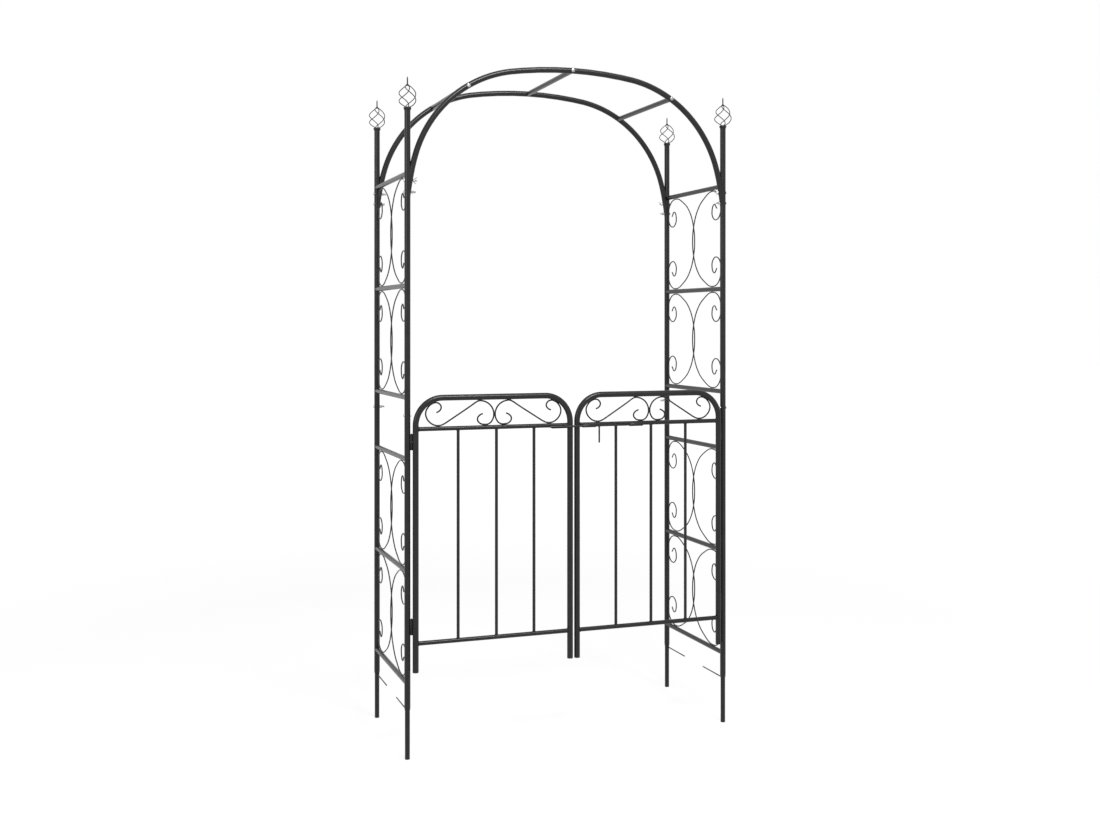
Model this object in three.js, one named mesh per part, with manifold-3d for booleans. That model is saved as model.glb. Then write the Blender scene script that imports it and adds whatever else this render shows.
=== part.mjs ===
// Free-standing garden arch of round steel tube with a two-leaf gate.
// Millimetres, +Z up. The origin is on the ground, midway between the four posts.
// The gate is at the front, towards -Y. Left is -X.

import * as THREE from 'three';
import { mergeVertices } from 'three/addons/utils/BufferGeometryUtils.js';
import Module from 'manifold-3d';

const wasm = await Module();
wasm.setup();

// Overall sizes
const WALKWAY_SPACING = 1178; // post centre to post centre, side to side
const PANEL_SPACING = 480; // post centre to post centre, front to back
const POST_HEIGHT = 2179; // ground to the top of the caps
const JOINT_HEIGHT = 1106; // ground to the seam between lower and upper post
const POST_END_HEIGHT = 164.5; // ground to the open end of the lower post

// Tube
const TUBE_DIAMETER = 20.5;
const TUBE_WALL = 1.5;
const FIT_GAP = 0.3; // between pieces that touch
const CUT_OVERRUN = 6; // how far a cutter runs past what it cuts

// Posts and stakes
const SPIGOT_LENGTH = 70; // reduced end of the lower post, inside the upper post
const SWAGE_LENGTH = 8; // where a tube narrows to its reduced end
const CRIMP_LENGTH = 7; // taper at the open end of the lower post
const CRIMP_WALL = 0.7;
const STAKE_WALL = 1.5;
const STAKE_INSERT = 60; // length of stake inside the post
const STAKE_TIP_THICKNESS = 3;
const STEP_ROD_DIAMETER = 4.5;
const STEP_ROD_LENGTH = 161; // from the post centre
const STEP_ROD_DROP = 0.75; // below the end of the post

// Post caps with a twisted cage and a spike
const CAP_DIAMETER = 26.5;
const CAP_HEIGHT = 11;
const CAP_TOP_THICKNESS = 3;
const CAGE_DIAMETER = 68.4;
const CAGE_HEIGHT = 74;
const CAGE_WIRE_DIAMETER = 3.1;
const CAGE_END_DIAMETER = 4.4; // of the wires' circle where they meet
const CAGE_WIRE_COUNT = 4;
const CAGE_START_DEGREES = 16; // of the first wire, at the cap
const CAGE_TWIST_DEGREES = -167; // from cap to bead
const CAGE_FULLNESS = 0.74; // power of the sine, 1 for a lens shape
const CAGE_BELLY_SHARE = 0.44; // height of the widest place
const BEAD_DIAMETER = 9;
const BEAD_HEIGHT = 7;
const SPIKE_DIAMETER = 4.5;
const SPIKE_HEIGHT = 28;
const SPIKE_POINT_HEIGHT = 7;

// Arch
const ARCH_FOOT_DROP = 299; // end of the arch's legs below the top of the caps
const ARCH_RISE = 470; // from there to the top of the arch
const ARCH_RADIUS_SHARES = [2.4, 0.721, 1.132]; // crown, shoulder and leg, to each other
const ARCH_END_DEGREES = [9, 73.5, 86.3]; // where each arc ends, counted from the crown
const ARCH_ARC_STEPS = [3, 10, 3];
const ARCH_FOOT_INSET = 2.4; // of the leg's end, from the post centre towards the walkway
const ARCH_BORE_END_DEGREES = 76; // below this the foot is pressed solid
const ARCH_RUNG_DEGREES = 32;
const ARCH_RUNG_DIAMETER = 18;
const ARCH_RUNG_PLUG_LENGTH = 20;
const ARCH_RUNG_VENT_DIAMETER = 4;

// Screws and bolts
const SCREW_DIAMETER = 5.6;
const RUNG_SCREW_HEAD_DIAMETER = 14;
const RUNG_SCREW_HEAD_HEIGHT = 4;
const FOOT_BOLT_RISES = [16, 54.5]; // above the end of the arch's legs
const FOOT_BOLT_HEAD_DIAMETER = 11;
const FOOT_BOLT_HEAD_HEIGHT = 3.5;
const NUT_BASE_DIAMETER = 10.5;
const NUT_TOP_DIAMETER = 8;
const NUT_HEIGHT = 7;
const NUT_WING_SPAN = 26;
const NUT_WING_HEIGHT = 13.5;
const NUT_WING_THICKNESS = 2.2;
const BOLT_TAIL_LENGTH = 6; // past the nut
const NUT_TURN_DEGREES = [80, 35, 95, 20, 70, 110, 88, 50];
// Half of the wings' outline: out from the bolt and up from the seat.
const NUT_WING_OUTLINE_SHARES = [
  [0.31, 0.07], [0.85, 0.37], [1, 0.89], [0.77, 1], [0.46, 0.67], [0.23, 0.52],
];

// Side rungs and scrolls
const RUNG_DIAMETER = 17;
const RUNG_WALL = 1.2;
const RUNGS_PER_SECTION = 3;
const LOWER_RUNG_RISE = 88; // first rung above the end of the lower post
const LOWER_RUNG_MARGIN = 105.5; // last lower rung below the seam
const UPPER_RUNG_MARGIN = 101; // first upper rung above the seam
const UPPER_RUNG_DROP = 221.5; // last upper rung below the top of the caps
const SCROLL_WIRE_DIAMETER = 4.5;
const SCROLL_PLANE_OFFSET = 1; // of each scroll from the middle of the panel
const SCROLL_SIDES = 4;
const SIDE_SCROLL_STEPS = 36;
// Upper half of a side scroll, from its inner end to its belly: share of the bay's width in
// from the post, and share of its height down from the rung.
const SIDE_SCROLL_SHARES = [
  [0.073, 0.187], [0.119, 0.142], [0.158, 0.217], [0.136, 0.282], [0.073, 0.304],
  [0.014, 0.251], [0, 0.161], [0.036, 0.05], [0.147, 0], [0.303, 0.061],
  [0.417, 0.167], [0.491, 0.329], [0.515, 0.5],
];

// Gate
const LEAF_CLEARANCE = 4.6; // between a post and the leaf's stile, side to side
const LEAF_FORWARD = 13; // leaf in front of the posts
const MEETING_GAP = 5.7; // between the two leaves
const GATE_BOTTOM_HEIGHT = 290; // ground to the ends of the stiles
const GATE_TOP_HEIGHT = 1206; // ground to the middle of the top tube
const GATE_CORNER_RADIUS = 92;
const GATE_CORNER_STEPS = 6;
const TOP_RAIL_DROP = 104; // below the middle of the top tube
const BOTTOM_RAIL_RISE = 96; // above the ends of the stiles
const RAIL_DIAMETER = 15;
const RAIL_WALL = 1.2;
const BAR_DIAMETER = 10.5;
const BAR_COUNT = 3;
const BAR_SPACING_SHARE = 0.246; // of the leaf's width
const BAR_SHIFT = 7; // of the bars from the leaf's middle, to the right
const GATE_SCROLL_WIRE_DIAMETER = 5.5;
const GATE_SCROLL_STEPS = 34;
const GATE_SCROLL_INSET_SHARE = 0.387; // of the corner radius, from the stile's middle
const GATE_SCROLL_WELD = 0.6; // how far the two scrolls run into each other
// Half of a gate scroll, from its outer end to its slope: shares of the scroll's half width
// and half height, from its middle.
const GATE_SCROLL_SHARES = [
  [-0.68, 0.09], [-0.53, 0.47], [-0.7, 0.93], [-0.93, 0.5], [-1, 0.1],
  [-0.92, -0.58], [-0.67, -1], [-0.4, -0.745], [-0.2, -0.372],
];

// Hinges
const HINGE_LENGTH = 54;
const HINGE_TOP_DROP = 43; // middle of the top hinge below the top rail
const HINGE_BOTTOM_RISE = 55.5; // middle of the bottom hinge above the bottom rail
const HINGE_PIN_DIAMETER = 4;
const HINGE_PIN_CLEARANCE = 0.35;
const HINGE_PIN_STICKOUT = 2;
const HINGE_WEB_THICKNESS = 3;

// Latch
const LATCH_ROD_DIAMETER = 7;
const LATCH_STILE_CLEARANCE = 0.9;
const LATCH_DROP = 4; // below the middle of the top rail
const LATCH_TRAVEL = 95;
const LATCH_TIP_STICKOUT = 8; // past the keeper
const LATCH_END_STICKOUT = 2; // past the far guide
const LATCH_ROUNDING = 1; // of the rod's ends
const GUIDE_LENGTH = 50;
const GUIDE_CLEARANCE = 0.6;
const GUIDE_WALL = 1.5;
const GUIDE_STILE_GAP = 4.5;
const GUIDE_WEB_THICKNESS = 4;
const KEEPER_LENGTH = 57;
const KEEPER_FLANGE = 2.4;
const KEEPER_LIP = 3; // of the flanges, in front of the rod's middle
const HANDLE_DIAMETER = 6;
const HANDLE_LENGTH = 60;
const HANDLE_GUIDE_GAP = 10;
const FAR_GUIDE_GAP = 17; // between the drawn handle and the far guide

// Corners round each round piece
const POST_SIDES = 12;
const BENT_TUBE_SIDES = 8;
const RUNG_SIDES = 10;
const RAIL_SIDES = 10;
const BAR_SIDES = 8;
const SCREW_SIDES = 8;
const HINGE_SIDES = 12;
const SPIKE_SIDES = 6;
const CAGE_WIRE_SIDES = 4;
const CAGE_WIRE_STEPS = 10;

// Worked out from the sizes above
const TUBE_RADIUS = TUBE_DIAMETER / 2;
const BORE_RADIUS = TUBE_RADIUS - TUBE_WALL;
const POST_X = WALKWAY_SPACING / 2;
const POST_Y = PANEL_SPACING / 2;
const ARCH_FOOT_HEIGHT = POST_HEIGHT - ARCH_FOOT_DROP;
const ARCH_CROWN_HEIGHT = ARCH_FOOT_HEIGHT + ARCH_RISE - TUBE_RADIUS;
const FOOT_BOLT_HEIGHTS = FOOT_BOLT_RISES.map((rise) => ARCH_FOOT_HEIGHT + rise);
const STILE_X = POST_X - TUBE_DIAMETER - LEAF_CLEARANCE;
const MEETING_STILE_X = MEETING_GAP / 2 + TUBE_RADIUS;
const LEAF_Y = -POST_Y - LEAF_FORWARD;
const HINGE_X = (POST_X + STILE_X) / 2;
const HINGE_Y = (LEAF_Y - POST_Y) / 2;
const STILE_FROM_HINGE = HINGE_X - STILE_X; // towards the walkway
const LEAF_FROM_HINGE = LEAF_Y - HINGE_Y;
const LEAF_WIDTH = STILE_X - MEETING_STILE_X;
const TOP_RAIL_Z = GATE_TOP_HEIGHT - TOP_RAIL_DROP;
const BOTTOM_RAIL_Z = GATE_BOTTOM_HEIGHT + BOTTOM_RAIL_RISE;
const LATCH_Z = TOP_RAIL_Z - LATCH_DROP;
const LATCH_FORWARD = TUBE_RADIUS + LATCH_ROD_DIAMETER / 2 + LATCH_STILE_CLEARANCE;
const NEAR_GUIDE_X = MEETING_STILE_X + TUBE_RADIUS + GUIDE_STILE_GAP;
const HANDLE_X = NEAR_GUIDE_X + GUIDE_LENGTH + HANDLE_GUIDE_GAP + HANDLE_DIAMETER / 2;
const FAR_GUIDE_X = HANDLE_X + LATCH_TRAVEL + HANDLE_DIAMETER / 2 + FAR_GUIDE_GAP;
const STAKE_RADIUS = BORE_RADIUS - FIT_GAP;
const HINGE_RADIUS = Math.hypot(STILE_FROM_HINGE, LEAF_FROM_HINGE) - TUBE_RADIUS - FIT_GAP;

const SIDES = [
  { name: 'left', sign: -1 },
  { name: 'right', sign: 1 },
];
const ROWS = [
  { name: 'front', sign: -1 },
  { name: 'back', sign: 1 },
];

const blackSteel = new THREE.MeshStandardMaterial({ color: 0x262626, roughness: 0.5, metalness: 0.4 });
const zincSteel = new THREE.MeshStandardMaterial({ color: 0xb9bbbd, roughness: 0.35, metalness: 0.9 });

const arch = new THREE.Group();

// Solids

function toSolid(geometry) {
  const bare = geometry.clone();
  bare.deleteAttribute('normal');
  bare.deleteAttribute('uv');
  const merged = mergeVertices(bare);
  const index = merged.index.array;
  const corners = [];
  for (let i = 0; i < index.length; i += 3) {
    const [a, b, c] = index.slice(i, i + 3);
    if (a !== b && b !== c && c !== a) corners.push(a, b, c);
  }
  const mesh = new wasm.Mesh({
    numProp: 3,
    vertProperties: merged.attributes.position.array,
    triVerts: new Uint32Array(corners),
  });
  return new wasm.Manifold(mesh);
}

function toGeometry(solid) {
  const mesh = solid.getMesh();
  const geometry = new THREE.BufferGeometry();
  geometry.setAttribute('position', new THREE.BufferAttribute(mesh.vertProperties, 3));
  geometry.setIndex(new THREE.BufferAttribute(mesh.triVerts, 1));
  geometry.computeVertexNormals();
  return geometry;
}

function joined(...geometries) {
  return geometries.map(toSolid).reduce((whole, solid) => whole.add(solid));
}

function cut(solid, ...cutters) {
  return cutters.map(toSolid).reduce((rest, cutter) => rest.subtract(cutter), solid);
}

function addPiece(name, solid, material, parent = arch) {
  const mesh = new THREE.Mesh(toGeometry(solid), material);
  mesh.name = name;
  parent.add(mesh);
  return mesh;
}

// Shapes

function vector(x, y, z) {
  return new THREE.Vector3(x, y, z);
}

// A round bar between two points.
function bar(from, to, diameter, sides) {
  const along = to.clone().sub(from);
  const geometry = new THREE.CylinderGeometry(diameter / 2, diameter / 2, along.length(), sides);
  const upright = vector(0, 1, 0);
  geometry.applyQuaternion(new THREE.Quaternion().setFromUnitVectors(upright, along.normalize()));
  const middle = from.clone().add(to).divideScalar(2);
  return geometry.translate(middle.x, middle.y, middle.z);
}

// A shape turned about the Z axis. The outline goes anticlockwise in radius and height.
function turned(outline, sides) {
  const points = outline.map(([radius, height]) => new THREE.Vector2(radius, height));
  return new THREE.LatheGeometry(points, sides).rotateX(Math.PI / 2);
}

function turnedTube(innerRadius, outerRadius, bottom, top, sides) {
  return turned([
    [innerRadius, bottom],
    [outerRadius, bottom],
    [outerRadius, top],
    [innerRadius, top],
    [innerRadius, bottom],
  ], sides);
}

// A flat outline made thick along Z, from 0 upwards.
function prism(outline, depth, hole = null) {
  const shape = new THREE.Shape(outline.map(([x, y]) => new THREE.Vector2(x, y)));
  if (hole) shape.holes.push(new THREE.Path(hole.map(([x, y]) => new THREE.Vector2(x, y))));
  return new THREE.ExtrudeGeometry(shape, { depth, bevelEnabled: false });
}

function directionAt(points, i) {
  const direction = vector(0, 0, 0);
  if (i > 0) direction.add(points[i].clone().sub(points[i - 1]).normalize());
  if (i < points.length - 1) direction.add(points[i + 1].clone().sub(points[i]).normalize());
  return direction.normalize();
}

// A closed bar that follows a row of points, with one ring of corners at each point.
function bentBar(points, diameter, sides, firstAcross = vector(0, 1, 0)) {
  const corners = [];
  const faces = [];
  const across = firstAcross.clone();
  points.forEach((point, i) => {
    const along = directionAt(points, i);
    across.addScaledVector(along, -across.dot(along)).normalize();
    const upward = along.clone().cross(across);
    for (let k = 0; k < sides; k += 1) {
      const angle = (k / sides) * Math.PI * 2;
      const corner = point.clone();
      corner.addScaledVector(across, (Math.cos(angle) * diameter) / 2);
      corner.addScaledVector(upward, (Math.sin(angle) * diameter) / 2);
      corners.push(corner.x, corner.y, corner.z);
      const a = i * sides + k;
      const b = i * sides + ((k + 1) % sides);
      if (i < points.length - 1) faces.push(a, b, b + sides, a, b + sides, a + sides);
    }
  });
  const last = (points.length - 1) * sides;
  for (let k = 1; k < sides - 1; k += 1) {
    faces.push(0, k + 1, k, last, last + k, last + k + 1);
  }
  const geometry = new THREE.BufferGeometry();
  geometry.setAttribute('position', new THREE.Float32BufferAttribute(corners, 3));
  geometry.setIndex(faces);
  return geometry;
}

function bentTube(points, diameter, wall, sides, borePoints = points) {
  const bore = bentBar(borePoints, diameter - wall * 2, sides);
  return cut(toSolid(bentBar(points, diameter, sides)), bore);
}

// Carries the ends of a row of points on by a short length, so that a bore runs out of its tube.
function overrun(points, length) {
  const first = points[0].clone().addScaledVector(directionAt(points, 0), -length);
  const last = points.at(-1).clone().addScaledVector(directionAt(points, points.length - 1), length);
  return [first, ...points, last];
}

// A hole along X through a piece on the Z axis.
function crossHole(x, z, reach) {
  const diameter = SCREW_DIAMETER + FIT_GAP * 2;
  return bar(vector(x - reach, 0, z), vector(x + reach, 0, z), diameter, SCREW_SIDES);
}

// Posts and stakes

function upperPost() {
  const top = POST_HEIGHT - CAP_TOP_THICKNESS - FIT_GAP;
  const tube = toSolid(turnedTube(BORE_RADIUS, TUBE_RADIUS, JOINT_HEIGHT + FIT_GAP, top, POST_SIDES));
  return cut(tube, ...FOOT_BOLT_HEIGHTS.map((z) => crossHole(0, z, TUBE_DIAMETER)));
}

function lowerPost() {
  const spigotRadius = BORE_RADIUS - FIT_GAP;
  const spigotBore = spigotRadius - TUBE_WALL;
  const spigotTop = JOINT_HEIGHT + SPIGOT_LENGTH;
  return toSolid(turned([
    [BORE_RADIUS, POST_END_HEIGHT],
    [BORE_RADIUS + CRIMP_WALL, POST_END_HEIGHT],
    [TUBE_RADIUS, POST_END_HEIGHT + CRIMP_LENGTH],
    [TUBE_RADIUS, JOINT_HEIGHT],
    [spigotRadius, JOINT_HEIGHT],
    [spigotRadius, spigotTop],
    [spigotBore, spigotTop],
    [spigotBore, JOINT_HEIGHT - TUBE_WALL],
    [BORE_RADIUS, JOINT_HEIGHT - TUBE_WALL - SWAGE_LENGTH],
    [BORE_RADIUS, POST_END_HEIGHT],
  ], POST_SIDES));
}

// The step rod points along +Y.
function stake() {
  const top = POST_END_HEIGHT + STAKE_INSERT;
  const bore = STAKE_RADIUS - STAKE_WALL;
  const body = turned([
    [0, 0],
    [STAKE_RADIUS, 0],
    [STAKE_RADIUS, top],
    [bore, top],
    [bore, STAKE_TIP_THICKNESS],
    [0, STAKE_TIP_THICKNESS],
  ], POST_SIDES);
  const rodZ = POST_END_HEIGHT - STEP_ROD_DROP - STEP_ROD_DIAMETER / 2;
  const rodStart = vector(0, STAKE_RADIUS - STAKE_WALL / 2, rodZ);
  const rod = bar(rodStart, vector(0, STEP_ROD_LENGTH, rodZ), STEP_ROD_DIAMETER, SCREW_SIDES);
  return joined(body, rod);
}

// Post caps

function cageWire(startDegrees) {
  const endRadius = CAGE_END_DIAMETER / 2;
  const swell = (CAGE_DIAMETER - CAGE_WIRE_DIAMETER) / 2 - endRadius;
  const points = [];
  for (let i = 0; i <= CAGE_WIRE_STEPS; i += 1) {
    const share = i / CAGE_WIRE_STEPS;
    const rise = share ** (Math.log(0.5) / Math.log(CAGE_BELLY_SHARE));
    const radius = endRadius + swell * Math.sin(Math.PI * rise) ** CAGE_FULLNESS;
    const angle = THREE.MathUtils.degToRad(startDegrees + CAGE_TWIST_DEGREES * share);
    const height = POST_HEIGHT - CAP_TOP_THICKNESS / 2 + (CAGE_HEIGHT + CAP_TOP_THICKNESS) * share;
    points.push(vector(Math.cos(angle) * radius, Math.sin(angle) * radius, height));
  }
  return bentBar(points, CAGE_WIRE_DIAMETER, CAGE_WIRE_SIDES);
}

function finial() {
  const skirtRadius = TUBE_RADIUS + FIT_GAP;
  const capBottom = POST_HEIGHT - CAP_HEIGHT;
  const ceiling = POST_HEIGHT - CAP_TOP_THICKNESS;
  const cap = turned([
    [0, ceiling],
    [skirtRadius, ceiling],
    [skirtRadius, capBottom],
    [CAP_DIAMETER / 2, capBottom],
    [CAP_DIAMETER / 2, POST_HEIGHT],
    [0, POST_HEIGHT],
  ], POST_SIDES);
  const beadBottom = POST_HEIGHT + CAGE_HEIGHT - BEAD_HEIGHT / 2;
  const spikeTop = POST_HEIGHT + CAGE_HEIGHT + SPIKE_HEIGHT;
  const spike = turned([
    [0, beadBottom],
    [BEAD_DIAMETER / 2, beadBottom],
    [BEAD_DIAMETER / 2, beadBottom + BEAD_HEIGHT],
    [SPIKE_DIAMETER / 2, beadBottom + BEAD_HEIGHT],
    [SPIKE_DIAMETER / 2, spikeTop - SPIKE_POINT_HEIGHT],
    [0, spikeTop],
  ], SPIKE_SIDES);
  const wires = [];
  for (let i = 0; i < CAGE_WIRE_COUNT; i += 1) {
    wires.push(cageWire(CAGE_START_DEGREES + (i * 360) / CAGE_WIRE_COUNT));
  }
  return joined(cap, spike, ...wires);
}

// Arch

// How far out and down a unit arch has come after turning from the crown.
function archReach(turnDegrees) {
  const reach = { out: 0, down: 0 };
  let start = 0;
  ARCH_RADIUS_SHARES.forEach((radius, i) => {
    const end = Math.max(start, Math.min(turnDegrees, ARCH_END_DEGREES[i]));
    const startAngle = THREE.MathUtils.degToRad(start);
    const endAngle = THREE.MathUtils.degToRad(end);
    reach.out += radius * (Math.sin(endAngle) - Math.sin(startAngle));
    reach.down += radius * (Math.cos(startAngle) - Math.cos(endAngle));
    start = ARCH_END_DEGREES[i];
  });
  return reach;
}

function archPoint(turnDegrees, side = 1) {
  const foot = archReach(ARCH_END_DEGREES.at(-1));
  const here = archReach(turnDegrees);
  const x = (here.out / foot.out) * (POST_X - ARCH_FOOT_INSET);
  const z = ARCH_CROWN_HEIGHT - (here.down / foot.down) * (ARCH_RISE - TUBE_RADIUS);
  return vector(side * x, 0, z);
}

function archTurns() {
  const turns = [];
  let start = 0;
  ARCH_END_DEGREES.forEach((end, arc) => {
    const steps = ARCH_ARC_STEPS[arc];
    for (let i = 1; i <= steps; i += 1) turns.push(start + ((end - start) * i) / steps);
    start = end;
  });
  return turns;
}

function archLine(turns) {
  const left = turns.map((turn) => archPoint(turn, -1)).reverse();
  return [...left, archPoint(0), ...turns.map((turn) => archPoint(turn))];
}

// Distance of the leg's middle from the middle of the walkway, at a height.
function legX(height) {
  const points = [0, ...archTurns()].map((turn) => archPoint(turn));
  const above = points.filter((point) => point.z >= height).at(-1);
  const below = points.find((point) => point.z < height) ?? above;
  const share = (above.z - height) / (above.z - below.z || 1);
  return above.x + (below.x - above.x) * share;
}

function archRungPlaces() {
  return [
    { name: 'left', place: archPoint(ARCH_RUNG_DEGREES, -1) },
    { name: 'top', place: archPoint(0) },
    { name: 'right', place: archPoint(ARCH_RUNG_DEGREES) },
  ];
}

function bowedTube() {
  const turns = archTurns();
  const boreTurns = turns.filter((turn) => turn < ARCH_BORE_END_DEGREES);
  boreTurns.push(ARCH_BORE_END_DEGREES);
  const diameter = TUBE_DIAMETER;
  const tube = bentTube(archLine(turns), diameter, TUBE_WALL, BENT_TUBE_SIDES, archLine(boreTurns));
  const postSpace = SIDES.map(({ sign }) => bar(
    vector(sign * POST_X, 0, ARCH_FOOT_HEIGHT - TUBE_DIAMETER),
    vector(sign * POST_X, 0, POST_HEIGHT),
    TUBE_DIAMETER + FIT_GAP * 2,
    POST_SIDES,
  ));
  const screwHoles = archRungPlaces().map(({ place }) => bar(
    vector(place.x, -TUBE_DIAMETER, place.z),
    vector(place.x, TUBE_DIAMETER, place.z),
    SCREW_DIAMETER + FIT_GAP * 2,
    SCREW_SIDES,
  ));
  const boltHoles = FOOT_BOLT_HEIGHTS.flatMap((z) => [-1, 1].map((side) => (
    crossHole(side * legX(z), z, TUBE_DIAMETER)
  )));
  return cut(tube, ...postSpace, ...screwHoles, ...boltHoles);
}

// A tube along Y with a screw of its own through each arch.
function archRung() {
  const half = POST_Y - TUBE_RADIUS - FIT_GAP;
  const headY = POST_Y + TUBE_RADIUS + FIT_GAP;
  const plugY = half - ARCH_RUNG_PLUG_LENGTH;
  const boreDiameter = ARCH_RUNG_DIAMETER - TUBE_WALL * 2;
  const tube = bar(vector(0, -half, 0), vector(0, half, 0), ARCH_RUNG_DIAMETER, RUNG_SIDES);
  const bore = bar(vector(0, -plugY, 0), vector(0, plugY, 0), boreDiameter, RUNG_SIDES);
  const ventBottom = vector(0, 0, -ARCH_RUNG_DIAMETER);
  const vent = bar(ventBottom, vector(0, 0, 0), ARCH_RUNG_VENT_DIAMETER, SCREW_SIDES);
  const headRadius = RUNG_SCREW_HEAD_DIAMETER / 2;
  const screw = turned([
    [0, plugY + ARCH_RUNG_PLUG_LENGTH / 2],
    [SCREW_DIAMETER / 2, plugY + ARCH_RUNG_PLUG_LENGTH / 2],
    [SCREW_DIAMETER / 2, headY],
    [headRadius, headY],
    [headRadius, headY + RUNG_SCREW_HEAD_HEIGHT / 3],
    [headRadius / 2, headY + RUNG_SCREW_HEAD_HEIGHT],
    [0, headY + RUNG_SCREW_HEAD_HEIGHT],
  ], SCREW_SIDES);
  const frontScrew = screw.clone().rotateX(Math.PI / 2);
  const backScrew = screw.rotateX(-Math.PI / 2);
  const hollow = cut(toSolid(tube), bore, vent);
  return hollow.add(toSolid(frontScrew)).add(toSolid(backScrew));
}

// The head is towards -X and the wing nut towards +X, with the post's middle at 0.
function footBolt(height, turnDegrees) {
  const headX = TUBE_RADIUS + FIT_GAP;
  const seatHeight = height + NUT_BASE_DIAMETER / 2;
  const nutX = POST_X - legX(seatHeight) + TUBE_RADIUS + FIT_GAP;
  const nutTop = nutX + NUT_HEIGHT;
  const headRadius = FOOT_BOLT_HEAD_DIAMETER / 2;
  const shankRadius = SCREW_DIAMETER / 2;
  const bolt = turned([
    [0, -headX - FOOT_BOLT_HEAD_HEIGHT],
    [headRadius / 2, -headX - FOOT_BOLT_HEAD_HEIGHT],
    [headRadius, -headX - FOOT_BOLT_HEAD_HEIGHT / 3],
    [headRadius, -headX],
    [shankRadius, -headX],
    [shankRadius, nutX],
    [NUT_BASE_DIAMETER / 2, nutX],
    [NUT_TOP_DIAMETER / 2, nutTop],
    [shankRadius, nutTop],
    [shankRadius, nutTop + BOLT_TAIL_LENGTH],
    [0, nutTop + BOLT_TAIL_LENGTH],
  ], SCREW_SIDES);
  const wingOutline = [];
  NUT_WING_OUTLINE_SHARES.forEach(([out, up]) => {
    wingOutline.push([(out * NUT_WING_SPAN) / 2, nutX + up * NUT_WING_HEIGHT]);
  });
  [...NUT_WING_OUTLINE_SHARES].reverse().forEach(([out, up]) => {
    wingOutline.push([(-out * NUT_WING_SPAN) / 2, nutX + up * NUT_WING_HEIGHT]);
  });
  const wings = prism(wingOutline, NUT_WING_THICKNESS);
  wings.translate(0, 0, -NUT_WING_THICKNESS / 2).rotateX(Math.PI / 2);
  wings.rotateZ(THREE.MathUtils.degToRad(turnDegrees));
  return joined(bolt.rotateY(Math.PI / 2), wings.rotateY(Math.PI / 2));
}

// Side panels

// A rung along Y, shaped at its ends to sit on the posts and to clear the legs of the bowed
// tubes where they stand beside it.
function sideRung(sideSign, height) {
  const boreEnd = POST_Y + CUT_OVERRUN;
  const boreDiameter = RUNG_DIAMETER - RUNG_WALL * 2;
  const bore = bar(vector(0, -boreEnd, 0), vector(0, boreEnd, 0), boreDiameter, RUNG_SIDES);
  const tube = bar(vector(0, -POST_Y, 0), vector(0, POST_Y, 0), RUNG_DIAMETER, RUNG_SIDES);
  const postSpace = ROWS.map(({ sign }) => bar(
    vector(0, sign * POST_Y, -RUNG_DIAMETER),
    vector(0, sign * POST_Y, RUNG_DIAMETER),
    TUBE_DIAMETER + FIT_GAP * 2,
    POST_SIDES,
  ));
  if (height + RUNG_DIAMETER < ARCH_FOOT_HEIGHT) return cut(toSolid(tube), bore, ...postSpace);
  const legEnds = [-RUNG_DIAMETER, RUNG_DIAMETER].map((rise) => vector(
    sideSign * (legX(height + rise) - POST_X),
    0,
    rise,
  ));
  const acrossFlats = Math.cos(Math.PI / POST_SIDES);
  const legSpace = ROWS.map(({ sign }) => bar(
    ...legEnds,
    (TUBE_DIAMETER + FIT_GAP * 2) / acrossFlats,
    POST_SIDES,
  ).translate(0, sign * POST_Y, 0));
  return cut(toSolid(tube), bore, ...postSpace, ...legSpace);
}

// One C-shaped wire scroll in a bay, at the front post (end -1) or the back post (end 1).
function sideScroll(end, bayHeight) {
  const wireRadius = SCROLL_WIRE_DIAMETER / 2;
  const halfWidth = POST_Y - TUBE_RADIUS - FIT_GAP - wireRadius;
  const halfHeight = bayHeight / 2 - FIT_GAP - wireRadius;
  const upperHalf = SIDE_SCROLL_SHARES.map(([inward, down]) => vector(
    end * SCROLL_PLANE_OFFSET,
    end * halfWidth * (1 - 2 * inward),
    halfHeight * (1 - 2 * down),
  ));
  const lowerHalf = upperHalf.slice(0, -1).reverse();
  const points = [...upperHalf, ...lowerHalf.map((point) => vector(point.x, point.y, -point.z))];
  const line = new THREE.CatmullRomCurve3(points, false, 'centripetal');
  const along = line.getPoints(SIDE_SCROLL_STEPS);
  return bentBar(along, SCROLL_WIRE_DIAMETER, SCROLL_SIDES, vector(1, 0, 0));
}

function sideScrollPair(bayHeight) {
  return joined(sideScroll(-1, bayHeight), sideScroll(1, bayHeight));
}

// Gate leaves. Each is drawn about its hinge axis, with inward the sign of X towards the
// middle of the walkway.

function leafPoint(inward, fromStile, z) {
  return vector(inward * (STILE_FROM_HINGE + fromStile), LEAF_FROM_HINGE, z);
}

function leafLine(inward) {
  const points = [leafPoint(inward, 0, GATE_BOTTOM_HEIGHT)];
  const cornerZ = GATE_TOP_HEIGHT - GATE_CORNER_RADIUS;
  [0, 1].forEach((corner) => {
    const centre = corner ? LEAF_WIDTH - GATE_CORNER_RADIUS : GATE_CORNER_RADIUS;
    for (let i = 0; i <= GATE_CORNER_STEPS; i += 1) {
      const angle = Math.PI - (Math.PI / 2) * (corner + i / GATE_CORNER_STEPS);
      const fromStile = centre + Math.cos(angle) * GATE_CORNER_RADIUS;
      points.push(leafPoint(inward, fromStile, cornerZ + Math.sin(angle) * GATE_CORNER_RADIUS));
    }
  });
  points.push(leafPoint(inward, LEAF_WIDTH, GATE_BOTTOM_HEIGHT));
  return points;
}

function hingeHeights() {
  return [
    { name: 'lower', z: BOTTOM_RAIL_Z + HINGE_BOTTOM_RISE },
    { name: 'upper', z: TOP_RAIL_Z - HINGE_TOP_DROP },
  ];
}

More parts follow.
